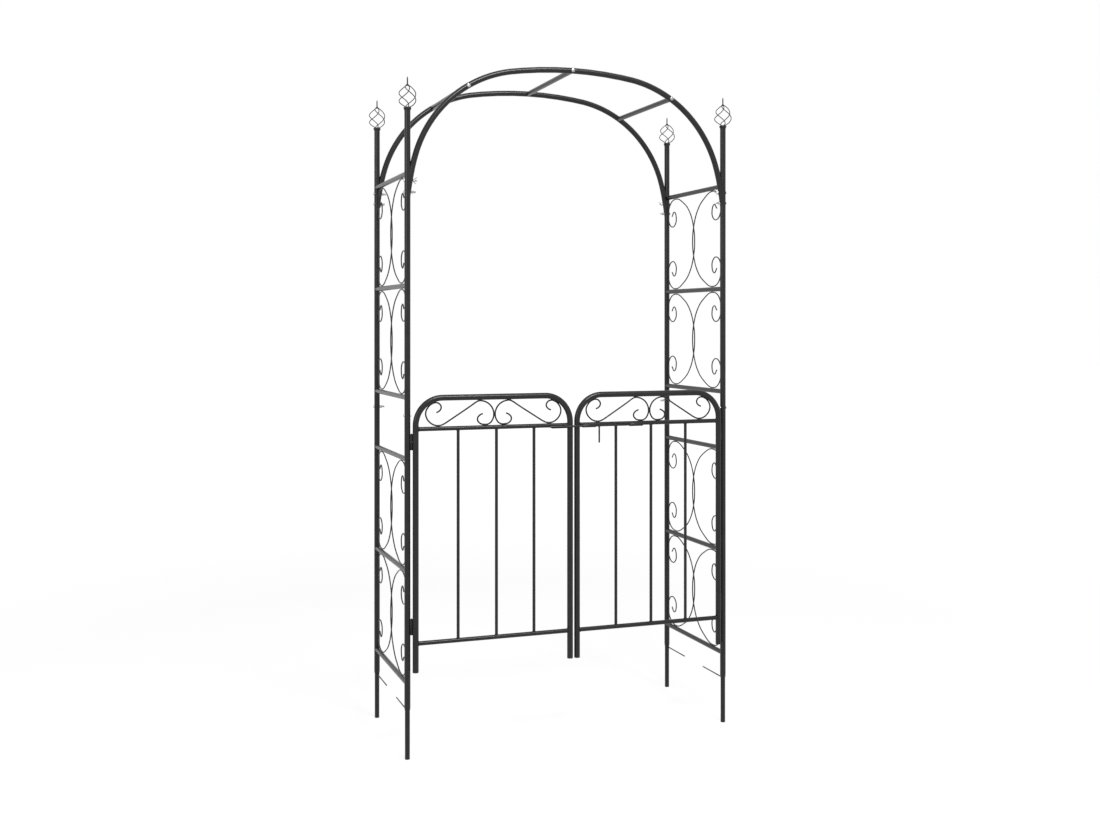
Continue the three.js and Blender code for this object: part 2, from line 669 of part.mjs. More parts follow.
// The leaf's half of a hinge is the upper half, with a web to the stile.
function leafKnuckle(inward, hingeZ) {
  const bottom = hingeZ + FIT_GAP / 2;
  const top = hingeZ + HINGE_LENGTH / 2;
  const barrel = bar(vector(0, 0, bottom), vector(0, 0, top), HINGE_RADIUS * 2, HINGE_SIDES);
  const reach = Math.hypot(STILE_FROM_HINGE, LEAF_FROM_HINGE) - TUBE_RADIUS + TUBE_WALL / 2;
  const web = new THREE.BoxGeometry(reach, HINGE_WEB_THICKNESS, top - bottom);
  web.translate(reach / 2, 0, (bottom + top) / 2);
  web.rotateZ(Math.atan2(LEAF_FROM_HINGE, inward * STILE_FROM_HINGE));
  return joined(barrel, web);
}

function pinHole(hingeZ) {
  const diameter = HINGE_PIN_DIAMETER + HINGE_PIN_CLEARANCE * 2;
  const from = vector(0, 0, hingeZ - HINGE_LENGTH / 2);
  return bar(from, vector(0, 0, hingeZ + HINGE_LENGTH), diameter, HINGE_SIDES);
}

function leafFrame(inward) {
  const points = leafLine(inward);
  const borePoints = overrun(points, CUT_OVERRUN);
  let frame = bentTube(points, TUBE_DIAMETER, TUBE_WALL, BENT_TUBE_SIDES, borePoints);
  hingeHeights().forEach(({ z }) => {
    frame = cut(frame.add(leafKnuckle(inward, z)), pinHole(z));
  });
  return frame;
}

// Two rails and the bars between them, shaped at the rails' ends to sit on the stiles.
function leafGrille(inward) {
  const rails = [BOTTOM_RAIL_Z, TOP_RAIL_Z].map((z) => {
    const line = [leafPoint(inward, 0, z), leafPoint(inward, LEAF_WIDTH, z)];
    return bentTube(line, RAIL_DIAMETER, RAIL_WALL, RAIL_SIDES, overrun(line, CUT_OVERRUN));
  });
  let grille = rails[0].add(rails[1]);
  const overlap = RAIL_DIAMETER / 2 - RAIL_WALL;
  for (let i = 0; i < BAR_COUNT; i += 1) {
    const fromMiddle = (i - (BAR_COUNT - 1) / 2) * BAR_SPACING_SHARE * LEAF_WIDTH;
    const fromStile = LEAF_WIDTH / 2 + inward * BAR_SHIFT + fromMiddle;
    const bottom = leafPoint(inward, fromStile, BOTTOM_RAIL_Z + overlap);
    const top = leafPoint(inward, fromStile, TOP_RAIL_Z - overlap);
    grille = grille.add(toSolid(bar(bottom, top, BAR_DIAMETER, BAR_SIDES)));
  }
  const stileSpace = [0, LEAF_WIDTH].map((fromStile) => bar(
    leafPoint(inward, fromStile, BOTTOM_RAIL_Z - RAIL_DIAMETER),
    leafPoint(inward, fromStile, TOP_RAIL_Z + RAIL_DIAMETER),
    (TUBE_DIAMETER + FIT_GAP * 2) / Math.cos(Math.PI / POST_SIDES),
    POST_SIDES,
  ));
  return cut(grille, ...stileSpace);
}

// One S-shaped scroll, with its own middle at middleX from the hinge axis.
function gateScroll(inward, middleX, halfWidth, middleZ, halfHeight) {
  const rest = GATE_SCROLL_SHARES.map(([across, up]) => [-across, -up]).reverse();
  const points = [...GATE_SCROLL_SHARES, ...rest].map(([across, up]) => vector(
    inward * (middleX + across * halfWidth),
    LEAF_FROM_HINGE,
    middleZ + up * halfHeight,
  ));
  const line = new THREE.CatmullRomCurve3(points, false, 'centripetal');
  return bentBar(line.getPoints(GATE_SCROLL_STEPS), GATE_SCROLL_WIRE_DIAMETER, SCROLL_SIDES);
}

function gateScrollPair(inward) {
  const wireRadius = GATE_SCROLL_WIRE_DIAMETER / 2;
  const top = GATE_TOP_HEIGHT - TUBE_RADIUS;
  const bottom = TOP_RAIL_Z + RAIL_DIAMETER / 2;
  const halfHeight = (top - bottom) / 2 - FIT_GAP - wireRadius;
  const middleZ = (top + bottom) / 2;
  const outer = STILE_FROM_HINGE + GATE_SCROLL_INSET_SHARE * GATE_CORNER_RADIUS;
  const leafMiddle = STILE_FROM_HINGE + LEAF_WIDTH / 2;
  const inner = leafMiddle - wireRadius + GATE_SCROLL_WELD / 2;
  const middleX = (inner + outer) / 2;
  const halfWidth = (inner - outer) / 2;
  const hingeSide = gateScroll(inward, middleX, halfWidth, middleZ, halfHeight);
  const farX = leafMiddle * 2 - middleX;
  const meetingSide = gateScroll(inward, farX, -halfWidth, middleZ, halfHeight);
  const frameSpace = bentBar(leafLine(inward), TUBE_DIAMETER + FIT_GAP * 2, BENT_TUBE_SIDES);
  return cut(joined(hingeSide, meetingSide), frameSpace);
}

// The post's half of a hinge is the lower half and carries the pin.
function hingePin(hingeZ) {
  const bottom = hingeZ - HINGE_LENGTH / 2;
  const top = hingeZ - FIT_GAP / 2;
  const pinTop = hingeZ + HINGE_LENGTH / 2 + HINGE_PIN_STICKOUT;
  const pinRadius = HINGE_PIN_DIAMETER / 2;
  return toSolid(turned([
    [0, bottom],
    [HINGE_RADIUS, bottom],
    [HINGE_RADIUS, top],
    [pinRadius, top],
    [pinRadius, pinTop - pinRadius / 2],
    [pinRadius / 2, pinTop],
    [0, pinTop],
  ], HINGE_SIDES));
}

// Latch

// A sleeve round the rod, with a web back to the rail of the right leaf.
function latchGuide(guideX) {
  const bore = LATCH_ROD_DIAMETER + GUIDE_CLEARANCE * 2;
  const outer = bore + GUIDE_WALL * 2;
  const y = LEAF_FROM_HINGE - LATCH_FORWARD;
  const startX = guideX - HINGE_X;
  const endX = startX + GUIDE_LENGTH;
  const sleeve = bar(vector(startX, y, LATCH_Z), vector(endX, y, LATCH_Z), outer, HINGE_SIDES);
  const webBack = LEAF_FROM_HINGE - RAIL_DIAMETER / 4;
  const webDepth = webBack - y;
  const web = new THREE.BoxGeometry(GUIDE_LENGTH, webDepth, GUIDE_WEB_THICKNESS);
  web.translate(startX + GUIDE_LENGTH / 2, y + webDepth / 2, LATCH_Z);
  const from = vector(startX - CUT_OVERRUN, y, LATCH_Z);
  const to = vector(endX + CUT_OVERRUN, y, LATCH_Z);
  return cut(joined(sleeve, web), bar(from, to, bore, HINGE_SIDES));
}

// A channel on the left leaf that the rod's tip lies in, open towards the front.
function latchKeeper() {
  const y = LEAF_FROM_HINGE - LATCH_FORWARD;
  const slotHalf = LATCH_ROD_DIAMETER / 2 + GUIDE_CLEARANCE;
  const outerHalf = slotHalf + KEEPER_FLANGE;
  const front = y - KEEPER_LIP;
  const slotBack = y + slotHalf;
  const back = LEAF_FROM_HINGE - RAIL_DIAMETER / 4;
  const outline = [
    [front, -outerHalf],
    [back, -outerHalf],
    [back, outerHalf],
    [front, outerHalf],
    [front, slotHalf],
    [slotBack, slotHalf],
    [slotBack, -slotHalf],
    [front, -slotHalf],
  ];
  const channel = prism(outline, KEEPER_LENGTH).rotateY(Math.PI / 2).rotateX(Math.PI / 2);
  return toSolid(channel.translate(HINGE_X - NEAR_GUIDE_X - KEEPER_LENGTH, 0, LATCH_Z));
}

function latchBolt() {
  const radius = LATCH_ROD_DIAMETER / 2;
  const left = -NEAR_GUIDE_X - KEEPER_LENGTH - LATCH_TIP_STICKOUT;
  const right = FAR_GUIDE_X + GUIDE_LENGTH + LATCH_END_STICKOUT;
  const rod = turned([
    [0, left],
    [radius - LATCH_ROUNDING, left],
    [radius, left + LATCH_ROUNDING],
    [radius, right - LATCH_ROUNDING],
    [radius - LATCH_ROUNDING, right],
    [0, right],
  ], HINGE_SIDES).rotateY(Math.PI / 2);
  const handleEnd = vector(HANDLE_X, 0, -HANDLE_LENGTH);
  const handle = bar(handleEnd, vector(HANDLE_X, 0, 0), HANDLE_DIAMETER, BAR_SIDES);
  return joined(rod, handle);
}

// Assembly

function addPosts() {
  ROWS.forEach((row) => SIDES.forEach((side) => {
    const corner = `${row.name}_${side.name}`;
    const pieces = [
      addPiece(`upper_post_${corner}`, upperPost(), blackSteel),
      addPiece(`lower_post_${corner}`, lowerPost(), blackSteel),
      addPiece(`stake_${corner}`, stake(), blackSteel),
      addPiece(`finial_${corner}`, finial(), blackSteel),
    ];
    pieces.forEach((piece) => {
      piece.position.set(side.sign * POST_X, row.sign * POST_Y, 0);
      piece.rotation.z = row.sign > 0 ? Math.PI : 0;
    });
  }));
}

function addArches() {
  ROWS.forEach((row) => {
    const piece = addPiece(`${row.name}_arch`, bowedTube(), blackSteel);
    piece.position.y = row.sign * POST_Y;
  });
  archRungPlaces().forEach(({ name, place }) => {
    addPiece(`arch_rung_${name}`, archRung(), blackSteel).position.copy(place);
  });
}

function addFootBolts() {
  let count = 0;
  ROWS.forEach((row) => SIDES.forEach((side) => {
    FOOT_BOLT_HEIGHTS.forEach((height, i) => {
      const name = `foot_bolt_${row.name}_${side.name}_${i ? 'high' : 'low'}`;
      const piece = addPiece(name, footBolt(height, NUT_TURN_DEGREES[count]), zincSteel);
      piece.position.set(side.sign * POST_X, row.sign * POST_Y, height);
      piece.rotation.z = side.sign > 0 ? Math.PI : 0;
      count += 1;
    });
  }));
}

function panelSections() {
  return [
    {
      name: 'lower',
      first: POST_END_HEIGHT + LOWER_RUNG_RISE,
      last: JOINT_HEIGHT - LOWER_RUNG_MARGIN,
    },
    {
      name: 'upper',
      first: JOINT_HEIGHT + UPPER_RUNG_MARGIN,
      last: POST_HEIGHT - UPPER_RUNG_DROP,
    },
  ];
}

function addSidePanels() {
  SIDES.forEach((side) => panelSections().forEach(({ name, first, last }) => {
    const pitch = (last - first) / (RUNGS_PER_SECTION - 1);
    for (let i = 0; i < RUNGS_PER_SECTION; i += 1) {
      const height = first + pitch * i;
      const solid = sideRung(side.sign, height);
      const rung = addPiece(`${name}_rung_${side.name}_${i + 1}`, solid, blackSteel);
      rung.position.set(side.sign * POST_X, 0, height);
    }
    for (let i = 0; i < RUNGS_PER_SECTION - 1; i += 1) {
      const pair = sideScrollPair(pitch - RUNG_DIAMETER);
      const scrolls = addPiece(`${name}_scrolls_${side.name}_${i + 1}`, pair, blackSteel);
      scrolls.position.set(side.sign * POST_X, 0, first + pitch * (i + 0.5));
    }
  }));
}

function addGateLeaf(side) {
  const inward = -side.sign;
  const leaf = new THREE.Group();
  leaf.position.set(side.sign * HINGE_X, HINGE_Y, 0);
  arch.add(leaf);
  let grille = leafGrille(inward);
  if (inward > 0) grille = grille.add(latchKeeper());
  else grille = grille.add(latchGuide(NEAR_GUIDE_X)).add(latchGuide(FAR_GUIDE_X));
  addPiece(`gate_frame_${side.name}`, leafFrame(inward), blackSteel, leaf);
  addPiece(`gate_grille_${side.name}`, grille, blackSteel, leaf);
  addPiece(`gate_scrolls_${side.name}`, gateScrollPair(inward), blackSteel, leaf);
}

function addHingePins(side) {
  hingeHeights().forEach(({ name, z }) => {
    const pin = addPiece(`hinge_pin_${side.name}_${name}`, hingePin(z), blackSteel);
    pin.position.set(side.sign * HINGE_X, HINGE_Y, 0);
  });
}

addPosts();
addArches();
addFootBolts();
addSidePanels();
SIDES.forEach(addGateLeaf);
SIDES.forEach(addHingePins);
addPiece('latch_bolt', latchBolt(), blackSteel).position.set(0, LEAF_Y - LATCH_FORWARD, LATCH_Z);

export default arch;
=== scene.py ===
"""Fine shapes and finishes of a garden arch with a two-leaf gate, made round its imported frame.

Metres, +Z up, with the origin on the ground midway between the four posts. The gate is at the
front, towards -Y, and left is -X.
"""

import math

import bpy
from bpy.props import FloatProperty, FloatVectorProperty, IntProperty, PointerProperty
from bpy.types import Operator, Panel, PropertyGroup
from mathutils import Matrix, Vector


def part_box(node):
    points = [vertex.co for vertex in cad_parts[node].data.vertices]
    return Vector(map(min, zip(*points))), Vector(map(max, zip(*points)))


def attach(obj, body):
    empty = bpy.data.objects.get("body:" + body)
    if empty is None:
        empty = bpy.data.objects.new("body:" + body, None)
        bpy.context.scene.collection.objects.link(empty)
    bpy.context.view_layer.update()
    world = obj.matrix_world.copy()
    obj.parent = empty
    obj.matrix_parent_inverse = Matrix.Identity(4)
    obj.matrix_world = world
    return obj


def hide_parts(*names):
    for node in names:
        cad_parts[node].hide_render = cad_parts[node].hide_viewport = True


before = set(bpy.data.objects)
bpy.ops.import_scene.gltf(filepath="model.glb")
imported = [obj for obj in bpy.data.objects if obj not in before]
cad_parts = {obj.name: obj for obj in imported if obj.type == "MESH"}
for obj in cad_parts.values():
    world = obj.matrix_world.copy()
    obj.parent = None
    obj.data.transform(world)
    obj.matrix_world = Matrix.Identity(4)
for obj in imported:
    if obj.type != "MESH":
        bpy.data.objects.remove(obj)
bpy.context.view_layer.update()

bl_info = {
    "name": "Garden arch with gate",
    "version": (1, 0, 0),
    "blender": (4, 5, 0),
    "location": "View3D > Sidebar > Garden arch",
    "description": "Models the tubes, wires, bolts and finishes of a garden arch with a gate",
    "category": "Object",
}

MM = 0.001
SMOOTH_ANGLE = math.radians(40)
END_ANGLE = math.radians(60)  # sharper edges than this are rounded at the ends of wires
FACING = 0.9  # least cosine between a picked face's normal and the direction asked for


# What the frame says

def box_size(node):
    low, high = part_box(node)
    return high - low


def box_middle(node):
    low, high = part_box(node)
    return (low + high) / 2


SIDES = {"left": -1, "right": 1}
ROWS = {"front": -1, "back": 1}
CORNERS = [(row, side) for row in ROWS for side in SIDES]
TUBE_DIAMETER = box_size("upper_post_front_left").x
POST_X = box_middle("upper_post_front_right").x
POST_Y = box_middle("upper_post_back_right").y
POST_BOTTOM, SPIGOT_TOP = (corner.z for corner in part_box("lower_post_front_left"))
SEAM_Z, POST_TOP = (corner.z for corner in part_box("upper_post_front_left"))
ARCH_FOOT_Z, ARCH_TOP_Z = (corner.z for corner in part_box("front_arch"))
GATE_BOTTOM_Z, GATE_TOP_Z = (corner.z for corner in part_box("gate_frame_left"))
LEAF_Y = box_middle("gate_scrolls_left").y
HINGE_X = box_middle("hinge_pin_right_upper").x
HINGE_Y = box_middle("hinge_pin_right_upper").y
STILE_X = 2 * HINGE_X - POST_X


# Sizes and colours that a user would change

def number(name, description, default, **settings):
    return FloatProperty(name=name, description=description, default=default, **settings)


def length(name, description, millimetres):
    return number(name, description, millimetres * MM, min=0, unit="LENGTH",
                  subtype="DISTANCE")


def colour(name, description, red, green, blue):
    return FloatVectorProperty(name=name, description=description, subtype="COLOR", size=4,
                               default=(red, green, blue, 1), min=0, max=1)


def gloss(name, description, roughness):
    return number(name, description, roughness, min=0, max=1, subtype="FACTOR")


class ArchSizes(PropertyGroup):
    """Sizes of the tubes, wires and fasteners"""

    tube_wall: length("Tube wall", "Wall of posts, arch and leaf frames", 1.5)
    spigot_gap: length("Spigot gap", "Between a tube and the tube inside it", 0.3)
    crimp_height: length("Crimp height", "Taper at the open end of a lower post", 7)
    crimp_wall: length("Crimp wall", "Wall left at the tip of that taper", 0.7)
    arch_rung_diameter: length("Arch rung", "Diameter of the rungs between the arches", 18)
    rail_diameter: length("Gate rail", "Diameter of the gate's rails", 15)
    bar_diameter: length("Gate bar", "Diameter of the gate's upright bars", 10.5)
    side_wire_diameter: length("Side scroll wire", "Wire of the side scrolls", 4.5)
    gate_wire_diameter: length("Gate scroll wire", "Wire of the gate scrolls", 5.5)
    cage_wire_diameter: length("Cage wire", "Wire of the twisted cages", 3.1)
    step_rod_diameter: length("Step rod", "Diameter of the step rods", 4.5)
    latch_rod_diameter: length("Latch rod", "Diameter of the latch rod", 7)
    handle_diameter: length("Latch handle", "Diameter of the latch handle", 6)
    screw_diameter: length("Screw", "Diameter of screws and bolts", 5.6)
    weld_bead: length("Weld bead", "Thickness of the beads at welded joints", 2.2)
    round_sides: IntProperty(name="Sides", description="Corners round each tube", default=40,
                             min=8, max=96)


class ArchFinish(PropertyGroup):
    """Colours and gloss of the two finishes"""

    coat_colour: colour("Coat", "Black powder coat", 0.006, 0.006, 0.0062)
    coat_light_colour: colour("Coat, lighter", "Lighter patches of the powder coat",
                              0.012, 0.012, 0.0123)
    coat_roughness: gloss("Coat roughness", "Roughness of the powder coat", 0.27)
    zinc_colour: colour("Zinc", "Bright zinc plate", 0.56, 0.57, 0.58)
    zinc_dull_colour: colour("Zinc, dull", "Duller patches of the zinc plate",
                             0.3, 0.305, 0.31)
    zinc_roughness: gloss("Zinc roughness", "Roughness of the zinc plate", 0.3)


class ArchStudio(PropertyGroup):
    """Camera and light of the studio"""

    camera_place: FloatVectorProperty(
        name="Camera", description="Where the camera stands", subtype="TRANSLATION",
        size=3, unit="LENGTH", default=(-1.5837, -4.4044, 1.4549))
    camera_turn: number("Camera turn", "The camera's turn about the vertical", -0.34598,
                        subtype="ANGLE", unit="ROTATION")
    focal_length: number("Focal length", "Focal length in millimetres on a 36 mm sensor",
                         41.677, min=1)
    lens_shift: number("Lens shift", "Upward shift of the lens, as a share of the sensor",
                       -0.0803)
    sky_light: number("Sky light", "Strength of the light from all round", 0.25, min=0)
    key_power: number("Key lamp", "Power of the long lamp high in front, in watts", 250, min=0)
    fill_power: number("Fill lamp", "Power of the lamp on the left, in watts", 35, min=0)


def sizes():
    return bpy.context.scene.arch_sizes


def finish():
    return bpy.context.scene.arch_finish


# Modelling

def set_mode(mode):
    bpy.ops.object.mode_set(mode=mode)


def deselect():
    if bpy.context.mode != "OBJECT":
        set_mode("OBJECT")
    bpy.ops.object.select_all(action="DESELECT")


def choose(*pieces):
    """Selects these pieces alone, with the first one active."""
    deselect()
    for piece in pieces:
        piece.select_set(True)
    bpy.context.view_layer.objects.active = pieces[0]


def face_outwards(piece):
    choose(piece)
    set_mode("EDIT")
    bpy.ops.mesh.select_all(action="SELECT")
    bpy.ops.mesh.remove_doubles(threshold=0.001 * MM)
    bpy.ops.mesh.normals_make_consistent(inside=False)
    set_mode("OBJECT")


def extrude(step):
    bpy.ops.mesh.extrude_region_move(TRANSFORM_OT_translate={"value": step})


def turned(outline, sides=None):
    """A solid turned about Z, from its bottom cap to its top cap, in radius and height."""
    deselect()
    radius, height = outline[0]
    bpy.ops.mesh.primitive_circle_add(vertices=sides or sizes().round_sides, radius=radius,
                                      fill_type="NGON")
    set_mode("EDIT")
    bpy.ops.transform.translate(value=(0, 0, height))
    for next_radius, next_height in outline[1:]:
        extrude((0, 0, next_height - height))
        scale = next_radius / radius
        bpy.ops.transform.resize(value=(scale, scale, 1), center_override=(0, 0, next_height))
        radius, height = next_radius, next_height
    set_mode("OBJECT")
    piece = bpy.context.object
    face_outwards(piece)
    return piece


def profile(shares, radius, height, bottom=0.0):
    """An outline from shares of a radius and of a height above the bottom."""
    return [(across * radius, bottom + up * height) for across, up in shares]


def block(middle, size, turn=(0, 0, 0)):
    deselect()
    bpy.ops.mesh.primitive_cube_add(size=1, location=middle, rotation=turn)
    piece = bpy.context.object
    piece.dimensions = size
    bpy.ops.object.transform_apply(location=True, rotation=True, scale=True)
    return piece


def modified(piece, kind, **settings):
    """Adds a modifier with these settings to a piece and applies it."""
    choose(piece)
    modifier = piece.modifiers.new(kind, kind)
    for key, value in settings.items():
        setattr(modifier, key, value)
    bpy.ops.object.modifier_apply(modifier=modifier.name)
    return piece


def bevelled(piece, width, segments=2, angle=math.radians(35)):
    return modified(piece, "BEVEL", width=width, segments=segments, limit_method="ANGLE",
                    angle_limit=angle)


def wire(points, diameter, curved=True, roundness=5, steps=8, tapers=()):
    """A round bar along a row of points, on a smooth curve or straight from point to point.

    The tapers are shares of the thickness at the last points, the same at both ends.
    """
    deselect()
    bpy.ops.curve.primitive_bezier_curve_add()
    set_mode("EDIT")
    bpy.ops.curve.select_all(action="SELECT")
    bpy.ops.curve.delete(type="VERT")
    for point in points:
        bpy.ops.curve.vertex_add(location=point)
    bpy.ops.curve.select_all(action="SELECT")
    bpy.ops.curve.handle_type_set(type="AUTOMATIC")
    if not curved:
        bpy.ops.curve.spline_type_set(type="POLY")
    set_mode("OBJECT")
    piece = bpy.context.object
    piece.data.dimensions = "3D"
    piece.data.resolution_u = steps
    piece.data.bevel_depth = diameter / 2
    piece.data.bevel_resolution = roundness
    piece.data.use_fill_caps = True
    if tapers:
        row = piece.data.splines[0].points
        for i, share in enumerate(tapers):
            row[i].radius = row[-1 - i].radius = share
    bpy.ops.object.convert(target="MESH")
    piece = bpy.context.object
    face_outwards(piece)
    return piece


WIRE_ROUNDING_SHARE = 0.22  # of a wire's thickness, at its ends


def rounded_wire(points, diameter, curved=True):
    piece = wire(points, diameter, curved)
    return bevelled(piece, diameter * WIRE_ROUNDING_SHARE, segments=3, angle=END_ANGLE)


def placed(piece, place=(0, 0, 0), turn=(0, 0, 0)):
    """Turns a piece about the origin, moves it and keeps its place in its mesh."""
    choose(piece)
    piece.rotation_euler = turn
    piece.location = place
    bpy.ops.object.transform_apply(location=True, rotation=True, scale=True)
    return piece


def laid_along(piece, start, towards):
    """Lays a piece that was made up the Z axis from start towards a point."""
    direction = Vector(towards) - Vector(start)
    return placed(piece, start, direction.to_track_quat("Z", "Y").to_euler())


def bar(start, end, diameter, rounding=0.0):
    """A straight round bar between two points."""
    span = (Vector(end) - Vector(start)).length
    piece = turned([(diameter / 2, 0), (diameter / 2, span)])
    if rounding:
        bevelled(piece, rounding, segments=3)
    return laid_along(piece, start, end)


def copied(piece):
    choose(piece)
    bpy.ops.object.duplicate(linked=False)
    return bpy.context.object


def joined(pieces):
    choose(*pieces)
    bpy.ops.object.join()
    return bpy.context.object


def open_end(piece, place, inward, wall, depth):
    """Opens the flat end of a solid bar into a bore."""
    choose(piece)
    for face in piece.data.polygons:
        at_end = (face.center - Vector(place)).length < wall
        face.select = at_end and abs(face.normal.dot(Vector(inward))) > FACING
    set_mode("EDIT")
    bpy.ops.mesh.select_mode(type="FACE")
    bpy.ops.mesh.inset(thickness=wall, depth=0)
    extrude(tuple(Vector(inward) * depth))
    set_mode("OBJECT")


WELD_RIPPLE_SIZE_SHARE = 1.3  # of the bead's thickness
WELD_RIPPLE_HEIGHT_SHARE = 0.35


def weld_ring(place, towards, radius):
    """An uneven bead round a bar that meets a tube at place."""
    bead = sizes().weld_bead
    deselect()
    bpy.ops.mesh.primitive_torus_add(major_segments=36, minor_segments=10,
                                     major_radius=radius, minor_radius=bead / 2)
    textures = bpy.data.textures
    ripple = textures.get("weld ripple") or textures.new("weld ripple", "CLOUDS")
    ripple.noise_scale = bead * WELD_RIPPLE_SIZE_SHARE
    piece = modified(bpy.context.object, "DISPLACE", texture=ripple, texture_coords="LOCAL",
                     strength=bead * WELD_RIPPLE_HEIGHT_SHARE)
    return laid_along(piece, place, Vector(place) + Vector(towards))


def weld_line(start, end):
    middle = (Vector(start) + Vector(end)) / 2
    return rounded_wire([start, middle, end], sizes().weld_bead, curved=False)


def delivered(piece, name, suffix="", body="arch", finish_name="black_steel"):
    """Names a finished piece, gives it its finish and hands it to its body.

    With a suffix, the piece stands for the frame's node of that name.
    """
    choose(piece)
    bpy.ops.object.transform_apply(location=True, rotation=True, scale=True)
    bpy.ops.object.shade_smooth_by_angle(angle=SMOOTH_ANGLE)
    piece.name = piece.data.name = f"{name}_{suffix}" if suffix else name
    piece.data.materials.clear()
    piece.data.materials.append(material_for(finish_name))
    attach(piece, body)
    if suffix:
        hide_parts(name)


# Finishes

NODE_START = -3000  # where the first node stands in a node editor
NODE_STEP = 200  # from there to the next
NOISE_ROUGHNESS = 0.55
NOISE_MIDDLE = (0.3, 0.7)  # the part of a noise that is spread over a range
MIX_COLOURS = (6, 7)  # places of a mix node's colours among its inputs
MIX_RESULT = 2  # and of the mixed colour among its outputs


def set_inputs(made, values):
    """Sets or links inputs of a node, or sets its own fields where it has no such input."""
    for key, value in values.items():
        name = key.replace("_", " ")
        if name not in made.inputs:
            setattr(made, key, value)
        elif isinstance(value, bpy.types.NodeSocket):
            made.id_data.links.new(value, made.inputs[name])
        else:
            made.inputs[name].default_value = value


def node(tree, kind, **values):
    made = tree.nodes.new(kind)
    made.location.x = NODE_START + NODE_STEP * len(tree.nodes)
    set_inputs(made, values)
    return made


def noise(tree, coordinates, scale, detail=3.0):
    made = node(tree, "ShaderNodeTexNoise", Vector=coordinates, Scale=scale, Detail=detail,
                Roughness=NOISE_ROUGHNESS)
    return made.outputs["Fac"]


def spread(tree, value, low, high):
    """Maps the middle of a noise to the range from low to high."""
    first, last = NOISE_MIDDLE
    made = node(tree, "ShaderNodeMapRange", Value=value, From_Min=first, From_Max=last,
                To_Min=low, To_Max=high)
    return made.outputs["Result"]


def colour_mix(tree, share, colours):
    made = node(tree, "ShaderNodeMix", data_type="RGBA", Factor=share)
    for place, tone in zip(MIX_COLOURS, colours):
        made.inputs[place].default_value = tone
    return made.outputs[MIX_RESULT]


def new_material(name):
    material = bpy.data.materials.new(name)
    material.use_nodes = True
    tree = material.node_tree
    coordinates = node(tree, "ShaderNodeTexCoord").outputs["Object"]
    return material, tree, tree.nodes["Principled BSDF"], coordinates


def finish_material(name, colours, roughness, scales, bump_strength, bump_height, **values):
    """A finish with cloudy colour, uneven gloss and a fine relief.

    The roughness is a range, and the scales are those of the noise in colour, gloss and relief.
    """
    material, tree, shader, coordinates = new_material(name)
    cloud_scale, haze_scale, grain_scale = scales
    clouds = spread(tree, noise(tree, coordinates, cloud_scale), 0, 1)
    haze = spread(tree, noise(tree, coordinates, haze_scale), *roughness)
    relief = node(tree, "ShaderNodeBump", Strength=bump_strength, Distance=bump_height,
                  Height=noise(tree, coordinates, grain_scale, detail=2))
    set_inputs(shader, {"Base Color": colour_mix(tree, clouds, colours), "Roughness": haze,
                        "Normal": relief.outputs["Normal"], **values})
    return material


COAT_HAZE = (-0.03, 0.04)  # added to the roughness in the glossiest and dullest places
ZINC_HAZE = (-0.06, 0.12)


def powder_coat():
    """Satin black powder coat with a fine orange peel."""
    look = finish()
    return finish_material(
        "black_powder_coat", (look.coat_colour, look.coat_light_colour),
        [look.coat_roughness + haze for haze in COAT_HAZE], scales=(23, 61, 620),
        bump_strength=0.06, bump_height=0.03 * MM, Specular_IOR_Level=0.34)


def zinc_plate():
    """Bright zinc plate on screws and wing nuts, with dull patches and fine scratches."""
    look = finish()
    return finish_material(
        "bright_zinc_plate", (look.zinc_colour, look.zinc_dull_colour),
        [look.zinc_roughness + haze for haze in ZINC_HAZE], scales=(180, 180, 1500),
        bump_strength=0.2, bump_height=0.1 * MM, Metallic=1.0)


FINISHES = {"black_steel": powder_coat, "zinc_steel": zinc_plate}


def material_for(finish_name):
    made = bpy.data.materials.get(f"finish {finish_name}")
    if made is None:
        made = FINISHES[finish_name]()
        made.name = f"finish {finish_name}"
    return made


# Posts, stakes and caps

EDGE = 0.4 * MM  # slope at the edges of the post tubes


def lower_post():
    size = sizes()
    tube = TUBE_DIAMETER / 2
    bore = tube - size.tube_wall
    crimp_top = POST_BOTTOM + size.crimp_height
    seam = SEAM_Z - size.spigot_gap
    spigot = bore - size.spigot_gap
    return turned([
        (bore, crimp_top),
        (bore, POST_BOTTOM),
        (bore + size.crimp_wall, POST_BOTTOM),
        (tube - EDGE / 2, crimp_top - EDGE),
        (tube, crimp_top + EDGE),
        (tube, seam - EDGE),
        (tube - EDGE, seam),
        (spigot, seam),
        (spigot, SPIGOT_TOP),
    ])


def upper_post():
    tube = TUBE_DIAMETER / 2
    bore = tube - sizes().tube_wall
    return turned([
        (bore, SEAM_Z + TUBE_DIAMETER),
        (bore, SEAM_Z),
        (tube - EDGE, SEAM_Z),
        (tube, SEAM_Z + EDGE),
        (tube, POST_TOP),
    ])


def at_corners(pattern, kind, suffix, back_turn=math.pi):
    """Delivers a copy of a pattern on each post's axis and removes the pattern."""
    for row, side in CORNERS:
        post = box_middle(f"upper_post_{row}_{side}")
        turn = back_turn if row == "back" else 0
        piece = placed(copied(pattern), (post.x, post.y, 0), (0, 0, turn))
        delivered(piece, f"{kind}_{row}_{side}", suffix)
    bpy.data.objects.remove(pattern)


class ARCH_OT_posts(Operator):
    """Model the lower and upper tubes of the four posts"""

    bl_idname = "garden_arch.posts"
    bl_label = "Posts"

    def execute(self, context):
        at_corners(lower_post(), "lower_post", "tube", back_turn=0)
        at_corners(upper_post(), "upper_post", "tube", back_turn=0)
        return {"FINISHED"}


STAKE_DIAMETER = box_size("stake_front_left").x
STEP_ROD_DROP = 0.75 * MM  # below the end of the post


